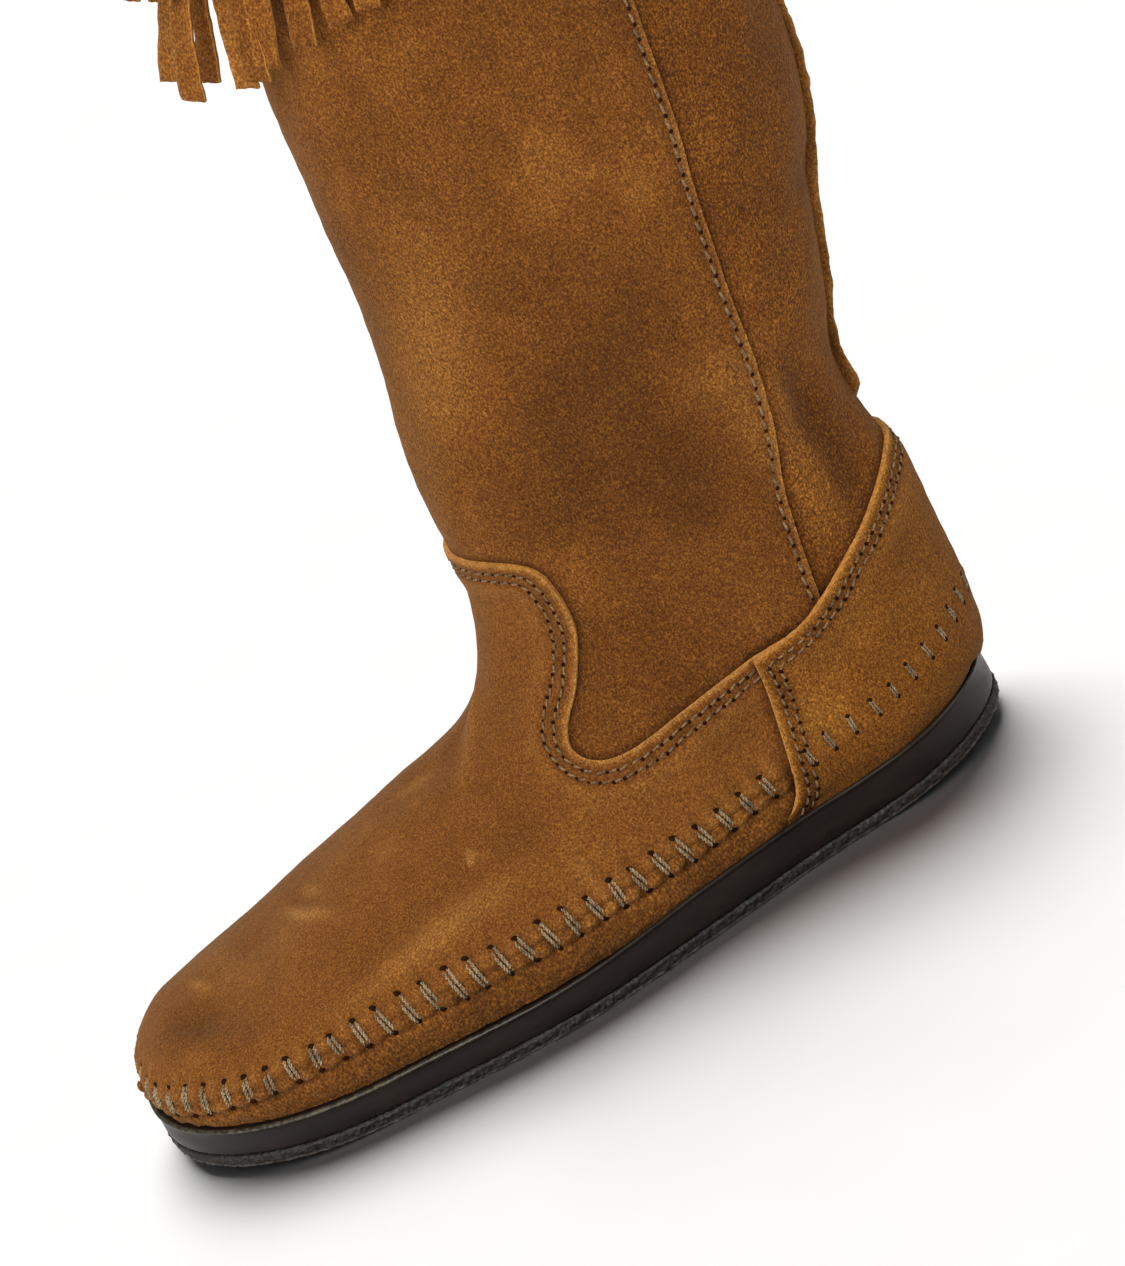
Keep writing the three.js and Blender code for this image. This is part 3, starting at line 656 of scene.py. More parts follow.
# ---- Meshes ----
def mesh_piece(name, points, faces, materials, face_slots=None, sharp=None, **attributes):
    """A smooth mesh object from points in mm. Extra keyword arrays become point attributes."""
    mesh = bpy.data.meshes.new(name)
    mesh.from_pydata((np.asarray(points) * MM).tolist(), [], [tuple(map(int, face)) for face in faces])
    for material in materials:
        mesh.materials.append(material)
    if face_slots is not None:
        mesh.polygons.foreach_set("material_index", np.asarray(face_slots, np.int32))
    mesh.polygons.foreach_set("use_smooth", np.ones(len(mesh.polygons), bool))
    if sharp is not None:
        ends = np.empty(len(mesh.edges) * 2, np.int32)
        mesh.edges.foreach_get("vertices", ends)
        ends = ends.reshape(-1, 2)
        flags = mesh.attributes.new("sharp_edge", "BOOLEAN", "EDGE")
        rim = sharp[ends]
        flags.data.foreach_set("value", (rim[:, 0] > 0) & (rim[:, 0] == rim[:, 1]))
    for key, values in attributes.items():
        mesh.attributes.new(key, "FLOAT", "POINT").data.foreach_set("value", np.asarray(values, np.float32))
    mesh.update()
    piece = bpy.data.objects.new(name, mesh)
    bpy.context.scene.collection.objects.link(piece)
    return piece


def dress(piece, slot, *nodes):
    """Lets a piece ride on the boot and stand for CAD nodes, whose parts it hides; its slot is not used."""
    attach(piece, "boot")
    if nodes:
        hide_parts(*nodes)
    return piece


def open_edges(faces):
    """Directed edges that only one face uses."""
    edges = np.concatenate([faces[:, [0, 1]], faces[:, [1, 2]], faces[:, [2, 0]]])
    seen = set(map(tuple, edges.tolist()))
    return np.array([edge for edge in edges.tolist() if (edge[1], edge[0]) not in seen])


UPPER = []                       # outer surfaces of the panels, where stitches are laid


def panel(name, field, outward, materials, tone):
    """A suede panel: the skin's part where the field is positive, moved outward, with real thickness."""
    q, faces = clip(SKIN_TABLE, SKIN_FACES, field)
    raised = outward(q) + skin_relief(q[:, PLACE]) + crease_relief(q[:, PLACE])
    outer = q[:, PLACE] + q[:, NORMAL] * raised[:, None]
    inner = outer - q[:, NORMAL] * SUEDE
    count = len(q)
    rim = open_edges(faces)
    a, b = rim[:, 0], rim[:, 1]
    walls = np.concatenate([np.stack([b, a, a + count], 1), np.stack([b, a + count, b + count], 1)])
    all_faces = np.concatenate([faces, faces[:, ::-1] + count, walls])
    slots = np.concatenate([np.zeros(len(faces)), np.ones(len(faces)), np.full(len(walls), 2)])
    marks = np.zeros(2 * count, int)
    marks[rim.ravel()] = 1
    marks[rim.ravel() + count] = 2
    tones = tone(q)
    UPPER.append((outer, faces))
    return mesh_piece(name, np.vstack([outer, inner]), all_faces, materials, slots, marks,
                      tone=np.concatenate([tones, tones]))


def quads(a, b, c, d):
    return np.stack([a.ravel(), b.ravel(), c.ravel(), d.ravel()], 1)


def solid_sheet(outer, inner):
    """Points, faces and material slots of a closed sheet between two grids of points."""
    rows, columns = outer.shape[:2]
    index = np.arange(rows * columns).reshape(rows, columns)
    under = index + rows * columns
    top = quads(index[:-1, :-1], index[:-1, 1:], index[1:, 1:], index[1:, :-1])
    low = quads(under[:-1, :-1], under[1:, :-1], under[1:, 1:], under[:-1, 1:])
    borders = ((index[0], under[0]), (under[-1], index[-1]),
               (under[:, 0], index[:, 0]), (index[:, -1], under[:, -1]))
    rims = [quads(line[:-1], over[:-1], over[1:], line[1:]) for line, over in borders]
    faces = np.concatenate([top, low, *rims])
    slots = np.concatenate([np.zeros(len(top)), np.ones(len(low)), np.full(sum(map(len, rims)), 2)])
    return np.vstack([outer.reshape(-1, 3), inner.reshape(-1, 3)]), faces, slots


class Heap:
    """Closed bodies gathered into one mesh piece."""

    def __init__(self):
        self.points, self.faces, self.slots, self.tones, self.count = [], [], [], [], 0

    def add(self, points, faces, slots=0, tone=0.0):
        self.points.append(points)
        self.faces.extend((np.asarray(face) + self.count).tolist() for face in faces)
        self.slots.append(np.zeros(len(faces)) + slots)
        self.tones.append(np.zeros(len(points)) + tone)
        self.count += len(points)

    def piece(self, name, materials):
        made = mesh_piece(name, np.vstack(self.points), self.faces, materials, np.concatenate(self.slots),
                          tone=np.concatenate(self.tones))
        mesh = bmesh.new()
        mesh.from_mesh(made.data)
        bmesh.ops.recalc_face_normals(mesh, faces=mesh.faces)
        mesh.to_mesh(made.data)
        mesh.free()
        return made


def tube(path, radii, up, sides=7):
    """A closed round body along a path; `up` keeps its rings from turning."""
    along = unit(np.gradient(path, axis=0))
    across = unit(np.cross(along, up))
    lifted = np.cross(across, along)
    angle = np.linspace(0, 2 * np.pi, sides, endpoint=False)
    ring = np.cos(angle)[None, :, None] * across[:, None] + np.sin(angle)[None, :, None] * lifted[:, None]
    points = (path[:, None] + ring * np.asarray(radii)[:, None, None]).reshape(-1, 3)
    faces = []
    for k in range(len(path) - 1):
        for i in range(sides):
            j = (i + 1) % sides
            faces.append((k * sides + i, k * sides + j, (k + 1) * sides + j, (k + 1) * sides + i))
    faces.append(tuple(range(sides)))
    faces.append(tuple((len(path) - 1) * sides + i for i in reversed(range(sides))))
    return points, faces


# ---- Materials ----
def colour(red, green, blue):
    """A screen colour as the linear colour that shaders take."""
    def linear(value):
        value /= 255
        return value / 12.92 if value <= 0.04045 else ((value + 0.055) / 1.055) ** 2.4
    return (linear(red), linear(green), linear(blue), 1.0)


class Recipe:
    """A material put together from nodes, whose texture sizes are in mm."""

    def __init__(self, name, roughness=0.9, specular=0.3):
        self.material = bpy.data.materials.new(name)
        self.material.use_nodes = True
        self.tree = self.material.node_tree
        self.tree.nodes.clear()
        self.shader = self.tree.nodes.new("ShaderNodeBsdfPrincipled")
        output = self.tree.nodes.new("ShaderNodeOutputMaterial")
        self.tree.links.new(self.shader.outputs["BSDF"], output.inputs["Surface"])
        self.shader.inputs["Roughness"].default_value = roughness
        self.shader.inputs["Specular IOR Level"].default_value = specular
        self.place = self.node("TexCoord").outputs["Object"]

    def node(self, kind, inputs=None, **settings):
        node = self.tree.nodes.new("ShaderNode" + kind)
        for key, value in settings.items():
            setattr(node, key, value)
        for key, value in (inputs or {}).items():
            if isinstance(value, bpy.types.NodeSocket):
                self.tree.links.new(value, node.inputs[key])
            else:
                node.inputs[key].default_value = value
        return node

    def noise(self, size, detail=2.0, roughness=0.5, stretch=(1, 1, 1), shift=0.0):
        place = self.node("Mapping", {"Vector": self.place, "Scale": stretch, "Location": (shift,) * 3})
        return self.node("TexNoise", {"Vector": place.outputs[0], "Scale": 1 / (size * MM), "Detail": detail,
                                      "Roughness": roughness}).outputs["Fac"]

    def cells(self, size):
        return self.node("TexVoronoi", {"Vector": self.place, "Scale": 1 / (size * MM)}).outputs["Distance"]

    def math(self, operation, a, b=0.5, c=0.5):
        return self.node("Math", {0: a, 1: b, 2: c}, operation=operation).outputs[0]

    def spread(self, value, low, high, to_low=0.0, to_high=1.0):
        return self.node("MapRange", {"Value": value, "From Min": low, "From Max": high, "To Min": to_low,
                                      "To Max": to_high}).outputs["Result"]

    def blend(self, factor, a, b, how="MIX"):
        return self.node("Mix", {0: factor, 6: a, 7: b}, data_type="RGBA", blend_type=how).outputs[2]

    def tone(self):
        return self.node("Attribute", attribute_name="tone").outputs["Fac"]

    def surface(self, socket, value):
        self.tree.links.new(value, self.shader.inputs[socket])

    def bump(self, height, depth, strength=1.0, under=None):
        inputs = {"Height": height, "Distance": depth * MM, "Strength": strength}
        if under is not None:
            inputs["Normal"] = under
        return self.node("Bump", inputs).outputs["Normal"]

    def sheen(self, weight, roughness, tint):
        self.shader.inputs["Sheen Weight"].default_value = weight
        self.shader.inputs["Sheen Roughness"].default_value = roughness
        self.shader.inputs["Sheen Tint"].default_value = tint


def suede(name, dark, middle, light, nap=0.46, nap_depth=0.45, speckle=1.95, patch=0.5):
    """Brushed suede: patches where the nap lies differently, fine fibrous speckle, and paler places, some
    worn and some painted highlights.

    The tone attribute of a mesh makes it paler above 0, with wear and painted highlights, and darker below 0,
    with painted shade and stains.
    """
    r = Recipe(name, roughness=0.95, specular=0.12)
    broad = r.noise(48, 3, 0.55)
    mottle = r.noise(15, 4, 0.6, stretch=(1, 1, 0.6), shift=0.31)
    cloud = r.math("ADD", r.math("MULTIPLY", broad, 0.55), r.math("MULTIPLY", mottle, 0.45))
    shade = r.spread(cloud, 0.36, 0.64, 0.5 - patch / 2, 0.5 + patch / 2)
    base = r.blend(shade, dark, middle)
    # Paler places: random worn patches, and above 0 the tone's wear and painted highlights.
    wear_and_highlight = r.math("ADD", r.math("MULTIPLY", r.tone(), 0.9), r.spread(cloud, 0.56, 0.8, 0, 0.35))
    base = r.blend(r.spread(wear_and_highlight, 0, 1), base, light)
    # Below 0 the tone paints shade and stains, towards a much darker brown.
    base = r.blend(r.spread(r.tone(), 0, -1, 0, 0.85), base, tuple(0.3 * c for c in dark[:3]) + (1.0,))
    fibre = r.noise(nap, 2, 0.6, stretch=(1, 1, 0.65))
    curl = r.noise(nap * 2.2, 2, 0.6, shift=0.7)
    grain = r.math("ADD", r.math("MULTIPLY", fibre, 0.78), r.math("MULTIPLY", curl, 0.22))
    tip = r.spread(grain, 0.34, 0.66, -1, 1)
    fleck = r.node("CombineColor", {channel: r.math("POWER", speckle ** share, tip) for channel, share in (
        ("Red", 0.84), ("Green", 1.0), ("Blue", 1.05))}).outputs[0]
    r.surface("Base Color", r.blend(1.0, base, fleck, "MULTIPLY"))
    r.surface("Normal", r.bump(grain, nap_depth, 0.9, r.bump(mottle, 0.5, 0.35)))
    r.sheen(0.12, 0.4, (0.95, 0.62, 0.3, 1.0))
    return r.material


def raw_edge():
    """The cut edge of a panel, paler than its face, with a layered, fuzzy core."""
    r = Recipe("suede_raw_edge", roughness=0.95, specular=0.1)
    core = r.noise(1.1, 4, 0.75)
    r.surface("Base Color", r.blend(r.spread(core, 0.35, 0.65), colour(140, 88, 34), colour(212, 148, 72)))
    r.surface("Normal", r.bump(core, 0.3, 0.8))
    r.sheen(0.12, 0.5, (1.0, 0.7, 0.4, 1.0))
    return r.material


def rubber_band():
    """The satin sidewall of the midsole, slightly smeared and dusty."""
    r = Recipe("rubber_sidewall", specular=0.32)
    smear = r.noise(9, 4, 0.6, stretch=(0.3, 1, 1.5))
    dust = r.noise(1.6, 3, 0.7, shift=0.4)
    base = r.blend(r.spread(smear, 0.35, 0.7), colour(20, 13, 10), colour(33, 23, 18))
    lip = r.blend(r.spread(dust, 0.4, 0.65), colour(36, 32, 26), colour(92, 86, 68))
    r.surface("Base Color", r.blend(r.spread(r.tone(), 0, 1), base, lip))
    r.surface("Roughness", r.spread(smear, 0.3, 0.7, 0.34, 0.52))
    r.surface("Normal", r.bump(dust, 0.05, 0.4, r.bump(smear, 0.2, 0.25)))
    return r.material


def rubber_tread():
    """The rough moulded tread layer, pitted and scuffed along its edge."""
    r = Recipe("rubber_tread", specular=0.4)
    pits = r.cells(1.5)
    grit = r.noise(0.9, 3, 0.7)
    scuff = r.spread(grit, 0.42, 0.68)
    base = r.blend(scuff, colour(20, 16, 14), colour(42, 35, 32))
    r.surface("Base Color", r.blend(r.spread(r.tone(), 0, 1), base, colour(120, 111, 104)))
    r.surface("Roughness", r.spread(grit, 0.3, 0.7, 0.45, 0.75))
    r.surface("Normal", r.bump(pits, 0.5, 0.8, r.bump(grit, 0.2, 0.6)))
    return r.material


def thread(name, dark, light):
    r = Recipe(name, roughness=0.7, specular=0.3)
    ply = r.noise(0.45, 3, 0.7)
    length = r.noise(5, 2, 0.5, shift=0.2)
    base = r.blend(r.spread(ply, 0.35, 0.65), dark, light)
    r.surface("Base Color", r.blend(r.spread(length, 0.45, 0.7, 0, 0.6), base, dark))
    r.surface("Normal", r.bump(ply, 0.08, 0.7))
    r.sheen(0.15, 0.4, (1.0, 0.95, 0.85, 1.0))
    return r.material


# Painted shade for needle holes: a near-black brown.
def hole_shade():
    r = Recipe("stitch_hole", roughness=1.0, specular=0.05)
    r.surface("Base Color", r.blend(r.noise(0.6), colour(24, 12, 5), colour(46, 25, 10)))
    return r.material


def woven_cloth(name, dark, light, pitch=0.9):
    """Plain woven cloth over foam."""
    r = Recipe(name, roughness=0.9, specular=0.15)
    waves = [r.node("TexWave", {"Vector": r.place, "Scale": 1 / (pitch * MM) / 6.3, "Distortion": 0.6,
                                "Detail": 1.0}, bands_direction=way).outputs["Fac"] for way in ("X", "Y")]
    weave = r.math("MULTIPLY", waves[0], waves[1])
    soil = r.noise(26, 4, 0.6)
    base = r.blend(weave, dark, light)
    r.surface("Base Color", r.blend(r.spread(soil, 0.4, 0.7, 0, 0.45), base, dark))
    r.surface("Normal", r.bump(weave, 0.15, 0.8))
    r.sheen(0.2, 0.5, (1.0, 0.95, 0.85, 1.0))
    return r.material


def fibre_board():
    r = Recipe("fibre_board", roughness=0.85, specular=0.2)
    fleck = r.noise(1.2, 4, 0.75, stretch=(0.4, 1, 1))
    r.surface("Base Color", r.blend(r.spread(fleck, 0.35, 0.65), colour(120, 98, 70), colour(186, 164, 128)))
    r.surface("Normal", r.bump(fleck, 0.12, 0.6))
    return r.material


SUEDE_FACE = suede("suede_face", colour(96, 55, 19), colour(120, 73, 28), colour(160, 111, 54), speckle=2.1)
SUEDE_SHAFT = suede("suede_shaft", colour(84, 47, 14), colour(112, 66, 23), colour(146, 97, 44), nap=0.48,
                    speckle=2.4, patch=0.75)
# The back panels take a slightly darker copy of the shaft's suede: painted shade.
SUEDE_BACK_SHADED = suede("suede_back_panel", colour(82, 45, 12), colour(108, 62, 18), colour(142, 90, 34), nap=0.52,
                   speckle=2.9, patch=0.7)
SUEDE_COUNTER = suede("suede_counter", colour(96, 56, 17), colour(120, 72, 23), colour(160, 108, 45),
                      speckle=2.4)
SUEDE_WALL = suede("suede_wall", colour(84, 48, 16), colour(120, 73, 27), colour(164, 110, 50), nap=0.62,
                   nap_depth=0.6, speckle=2.4)
SUEDE_FRINGE = suede("suede_fringe", colour(90, 51, 16), colour(121, 72, 26), colour(160, 106, 48), nap=0.55,
                     nap_depth=0.55, speckle=2.3)
SUEDE_FLESH = suede("suede_flesh_side", colour(116, 76, 40), colour(150, 106, 62), colour(176, 132, 84),
                    nap=1.1, nap_depth=0.5)
RAW_EDGE = raw_edge()
RUBBER_BAND = rubber_band()
RUBBER_TREAD = rubber_tread()
WHIP_THREAD = thread("whip_thread", colour(50, 38, 26), colour(186, 162, 124))
SEWING_THREAD = thread("sewing_thread", colour(48, 32, 17), colour(156, 122, 80))
PAINTED_HOLE_SHADE = hole_shade()
FOOTBED_CLOTH = woven_cloth("footbed_cloth", colour(122, 92, 58), colour(190, 160, 118))
BOARD = fibre_board()


# ---- Upper panels ----
def painted_crease_light(q, share=0.24):
    """Painted highlights on raised folds and painted shade in their hollows."""
    return np.clip(crease_relief(q[:, PLACE]) * share, -0.4, 0.4)


# Pale marks on the vamp, and painted shade in the hollows at the toe: centre, direction, half length, half
# width and strength.
MARKS_AND_SHADE = (
    # These two paint shade into the hollows at the toe.
    ((-113, -10, 38), (0.6, -0.8, 0), 9, 4.0, -0.34),
    ((-105, -20, 38), (0.3, -0.9, 0), 8, 3.0, -0.2),
    ((-22, 0, 65), (0.7, -0.3, 0.5), 22, 1.6, 0.3),
    ((-68, -3, 50), (0.35, -0.93, 0), 8, 0.9, 0.55),
    ((-63, -13, 51), (0.6, -0.8, 0), 6, 0.8, 0.5),
    ((-61, -2, 52), (0.5, -0.86, 0), 5, 0.8, 0.45),
    ((-18, -36, 52), (0.2, 0.3, 0.9), 4, 0.9, 0.6),
    ((-14, -37, 51), (0.1, 0.4, 0.9), 3, 0.8, 0.5),
    ((-102, 4, 43), (0.3, -0.9, 0), 6, 0.9, 0.5),
)


def marks_and_shade_tone(q):
    total = np.zeros(len(q))
    for centre, way, half_length, half_width, strength in MARKS_AND_SHADE:
        along, across = beside(q[:, PLACE], centre, way)
        total += strength * bell(along, half_length) * bell(np.maximum(across - 1.0, 0), half_width)
    return total


def seam_tone(q):
    # Painted shade in the crease under the seam and in the seam's dip, and painted highlights on the puffs
    # between stitches.
    crease_line = -0.5 * bell(q[:, SEAM] + WALL_CREASE, 0.8)
    ends = -0.3 * bell(q[:, SEAM], 1.3)
    puffs = 0.26 * -q[:, PULL] * bell(q[:, SEAM] - 1, 5)
    return crease_line + ends + puffs


def edge_tone(distance):
    """A pale rim, worn and with a painted highlight, then painted shade in the furrows of the stitch rows."""
    furrows = sum(bell(distance - row, 0.9) for row in EDGE_ROWS)
    return 0.85 * bell(distance, 0.75) + 0.12 * bell(distance - 9, 3) - 0.6 * furrows


def shadow_tone(outside):
    """Dirt and shade in the angle under a panel that laps over this one."""
    return -0.8 * bell(np.minimum(outside, 0), 1.5) * (outside > -8)


def painted_foot_shade(q, height):
    """Painted shade: the suede gets darker towards the sole."""
    return 0.34 * (ease(SKIN_FOOT_Z, SKIN_FOOT_Z + height, q[:, 2]) - 1)


def wall_tone(q):
    stains = 0.12 * lumps(q[:, PLACE], size=18, seed=31)
    return seam_tone(q) + shadow_tone(q[:, IN_COUNTER]) + painted_foot_shade(q, 11) + stains


def vamp_tone(q):
    return (painted_crease_light(q) + marks_and_shade_tone(q) + seam_tone(q) + edge_tone(q[:, IN_VAMP])
            + shadow_tone(q[:, IN_COUNTER]))


def counter_tone(q):
    return edge_tone(q[:, IN_COUNTER]) + painted_foot_shade(q, 26) + 0.1 * lumps(q[:, PLACE], size=22, seed=33)


def front_tone(q):
    # Painted shade in the furrow of the side row, and a pale rim at the edge, worn and with a painted
    # highlight.
    furrow = -0.35 * bell(q[:, IN_FRONT] - SIDE_ROW, 0.9) + 0.7 * bell(q[:, IN_FRONT], 0.8)
    return painted_crease_light(q, 0.42) + shadow_tone(q[:, IN_VAMP]) + shadow_tone(q[:, IN_COUNTER]) + furrow


def back_tone(q):
    return painted_crease_light(q, 0.42) + shadow_tone(q[:, IN_FRONT]) + shadow_tone(q[:, IN_COUNTER])


def make_upper():
    """The six suede panels, each cut along its seams and running on under what is sewn over it."""
    y = SKIN_POINTS[:, 1]
    panels = (
        ("moccasin_wall", np.minimum(-WHIP, UNDERLAP - COUNTER), wall_outward, SUEDE_WALL, wall_tone),
        ("vamp", np.minimum.reduce([WHIP, VAMP, UNDERLAP - COUNTER]), vamp_outward, SUEDE_FACE, vamp_tone),
        ("heel_counter", COUNTER, counter_outward, SUEDE_COUNTER, counter_tone),
        ("shaft_front", np.minimum.reduce([FRONT, UNDERLAP - VAMP, UNDERLAP - COUNTER]), front_outward,
         SUEDE_SHAFT, front_tone),
        ("shaft_back_lateral", np.minimum.reduce([UNDERLAP - FRONT, UNDERLAP - COUNTER, -y]), back_outward,
         SUEDE_BACK_SHADED, back_tone),
        ("shaft_back_medial", np.minimum.reduce([UNDERLAP - FRONT, UNDERLAP - COUNTER, y]), back_outward,
         SUEDE_BACK_SHADED, back_tone),
    )
    for name, field, outward, face, tone in panels:
        piece = panel(f"{name}_suede", field, outward, [face, SUEDE_FLESH, RAW_EDGE], tone)
        dress(piece, "suede_tan", name)


def seam_flange(side):
    """One of the two standing layers of the back seam: a wavy strip turned outwards."""
    heights = np.linspace(FLANGE_FOOT_Z + 2, TOP_Z - 0.5, 200)
    level = np.zeros(len(heights))
    line = np.stack([back_x(heights), level, heights], 1)
    along = unit(np.gradient(line, axis=0))
    outward = np.stack([along[:, 2], level, -along[:, 0]], 1)
    reach = np.linspace(-1.5, FLANGE_STAND, 7)
    wave = 0.9 * np.sin(heights / 11) + 0.6 * np.sin(heights / 4.7 + side)
    ragged = 0.5 * lumps(line, size=4, seed=40 + side)
    standing = ease(FLANGE_FOOT_Z + 2, FLANGE_FOOT_Z + 8, heights)[:, None, None]
    away = mix(-2.0, reach[None, :, None] * (1 + 0.16 * ragged[:, None, None]), standing)
    grid = line[:, None] + outward[:, None] * away
    sway = (wave[:, None] * ease(0, FLANGE_STAND, reach)[None]) * 0.9
    near = grid.copy()
    near[..., 1] += sway + side * 0.12
    far = grid.copy()
    far[..., 1] += sway + side * (0.12 + FLANGE_THICK)
    points, faces, slots = solid_sheet(far, near)
    # Paler towards its outer edge: wear and a painted highlight.
    wear_and_highlight = np.tile(np.tile(0.55 * ease(0, FLANGE_STAND, reach), len(heights)), 2)
    heap = Heap()
    heap.add(points, faces, slots, wear_and_highlight)
    name = "back_seam_lateral_layer" if side < 0 else "back_seam_medial_layer"
    return dress(heap.piece(name, [SUEDE_FACE, SUEDE_FLESH, RAW_EDGE]), "suede_tan")


# ---- Sole ----
def sole_outline(inset, steps):
    """Outline points of the sole drawn in by `inset`: down the outer side, back up the inner side."""
    t = (1 - np.cos(np.linspace(0, np.pi, steps + 1))) / 2
    sides = []
    for side in (-1, 1):
        x = mix(TOE_X + inset, HEEL_X - inset, t)
        rounding = toe_factor(x, TOE_X + inset) * heel_factor(x, HEEL_X - inset, HEEL_ROUND - inset)
        sides.append(np.stack([x, toe_turn(x) + side * (sole_half(side, x) - inset) * rounding], 1))
    return np.vstack([sides[0], sides[1][-2:0:-1]])


def edge_rings(profile, steps, rough):
    """Rings of points up the edge of a sole layer, and their tones.

    Each profile row is (inset, height, tone, lip): a negative tone is scuffing that only the forefoot
    has, and lip is the row's share of the raised heel edge.
    """
    rings, tones = [], []
    for inset, z, tone, lip in profile:
        flat = sole_outline(inset, steps)
        ring = np.column_stack([flat, z + spring_rise(flat[:, 0]) + lip * lip_rise(flat[:, 0])])
        outward = unit(np.column_stack([flat - np.array([0, 2.0]), np.zeros(len(flat))]))
        pits = lumps(ring, size=1.7, seed=51) + 0.8 * lumps(ring, size=0.9, seed=52)
        rings.append(ring + outward * (rough * pits)[:, None])
        scuffed = mix(1.0, 0.12, ease(-95, 10, flat[:, 0])) if tone < 0 else 1.0
        tones.append(np.full(len(ring), abs(tone)) * scuffed)
    return rings, tones


def sole_layer(name, profile, steps, material, rough=0.0, pattern=None, across=40):
    """A layer of the sole: rings up its edge by a profile, closed by two grids."""
    rings, tones = edge_rings(profile, steps, rough)
    around = len(rings[0])
    points = np.vstack(rings)
    faces = []
    for k in range(len(rings) - 1):
        a = np.arange(around) + k * around
        b = np.roll(np.arange(around), -1) + k * around
        faces.append(quads(a, b, b + around, a + around))
    heap = Heap()
    fills, fill_faces = [], []
    count = len(points)
    share = np.linspace(0, 1, across + 1)[1:-1]
    for level, start in ((0, 0), (len(rings) - 1, (len(rings) - 1) * around)):
        near = rings[level][1:steps]
        far = rings[level][:steps:-1]
        grid = near[:, None] + (far - near)[:, None] * share[None, :, None]
        if level == 0 and pattern is not None:
            edge = np.minimum(share, 1 - share)[None] * (far - near)[:, None, 1]
            grid[..., 2] += pattern(grid[..., 0], grid[..., 1], edge)
        index = np.arange(grid[..., 0].size).reshape(grid.shape[:2]) + count
        left = np.arange(1, steps) + start
        right = np.arange(around - 1, steps, -1) + start
        index = np.column_stack([left, index, right])
        fill_faces.append(quads(index[:-1, :-1], index[:-1, 1:], index[1:, 1:], index[1:, :-1]))
        for row, tip in ((index[0], start), (index[-1], start + steps)):
            fill_faces.append(np.stack([row[:-1], row[1:], np.full(len(row) - 1, tip)], 1))
        fills.append(grid.reshape(-1, 3))
        count += grid[..., 0].size
    all_points = np.vstack([points, *fills])
    all_tones = np.concatenate([*tones, np.zeros(len(all_points) - len(points))])
    all_faces = [face for block in (*faces, *fill_faces) for face in block.tolist()]
    heap.add(all_points, all_faces, 0, all_tones)
    return heap.piece(name, [material])


BAR_PITCH = 6.5                  # the bars under the sole
BAR_DEPTH = 1.1
BAR_SWING = 2.4                  # how far a bar swings fore and aft
BAR_WAVE = 22                    # and over what width


def tread_pattern(x, y, edge):
    """Shallow wavy bars across the underside, kept clear of its edge."""
    wave = np.sin(2 * np.pi * (x + BAR_SWING * np.sin(2 * np.pi * y / BAR_WAVE)) / BAR_PITCH)
    return BAR_DEPTH * ease(0.25, 0.75, wave) * ease(5, 7, np.abs(edge))


def make_sole():
    tread_profile = (
        (1.0, 0.0, 0, 0), (0.45, 0.15, 0.8, 0), (0.15, 0.55, 0.5, 0), (0.05, 1.2, 0, 0), (0.0, 1.9, 0, 0),
        (0.0, 2.6, 0, 0), (0.05, 3.2, 0, 0), (0.35, 3.75, 0, 0), (1.0, 3.95, 0, 0),
    )
    # In the band, the pale tones at its foot, over the groove, paint a highlight.
    band_profile = (
        (1.2, 4.3, 0, 0), (0.45, 4.35, 0.45, 0), (0.1, 4.7, 0.15, 0), (0.0, 5.2, 0, 0), (0.05, 7.5, 0, 0),
        (0.1, 9.5, 0, 0.5), (0.1, 11.2, 0, 0.9), (0.0, 11.7, -0.1, 1), (-0.4, 12.1, -0.7, 1),
        (-0.35, 12.6, -0.9, 1), (0.3, 12.95, -0.8, 1), (1.0, 12.9, 0, 0.6), (1.6, SOLE_THICK, 0, 0),
    )
    tread = sole_layer("outsole_tread_rubber", tread_profile, 340, RUBBER_TREAD, 0.24, tread_pattern, 60)
    dress(tread, "sole_rubber", "outsole_tread")
    band = sole_layer("midsole_band", band_profile, 220, RUBBER_BAND)
    dress(band, "sole_rubber", "midsole")


def make_footbed():
    """The padded footbed: rounded over at its rim, hollowed by the heel and the ball of the foot."""
    def hollows(x, y, edge):
        heel = 1.0 * bell(x - 92, 26) * bell(y - 1, 20)
        ball = 0.9 * bell(x + 58, 34) * bell(y - 2, 26)
        return (0.5 * ease(0, 12, np.abs(edge)) - heel - ball) * ease(2, 10, np.abs(edge))

    foot, top = FOOTBED_FOOT_Z + 0.05, FOOTBED_FOOT_Z + FOOTBED_THICK - 0.2
    profile = [(BOARD_INSET + inset, z, 0, 0) for inset, z in (
        (1.4, top), (0.6, top - 0.25), (0.15, top - 0.9), (0.1, foot + 0.8), (0.3, foot + 0.1), (1.0, foot))]
    pad = sole_layer("footbed_pad", profile, 150, FOOTBED_CLOTH, 0.0, hollows, 40)
    dress(pad, "footbed_cloth", "footbed")


# ---- Stitches ----
def surface_tree():
    points, faces, count = [], [], 0
    for panel_points, panel_faces in UPPER:
        points.append(panel_points)
        faces.append(panel_faces + count)
        count += len(panel_points)
    return BVHTree.FromPolygons(np.vstack(points).tolist(), np.vstack(faces).tolist())


def landed(tree, points, normals):
    """The places where points come down on the upper's outermost surface, along their normals."""
    reach = 10.0
    found = []
    for p, n in zip(points, normals):
        hit = tree.ray_cast(Vector(p + n * reach), Vector(-n), 2 * reach)[0]
        found.append(np.array(hit) if hit is not None else p)
    return np.array(found)


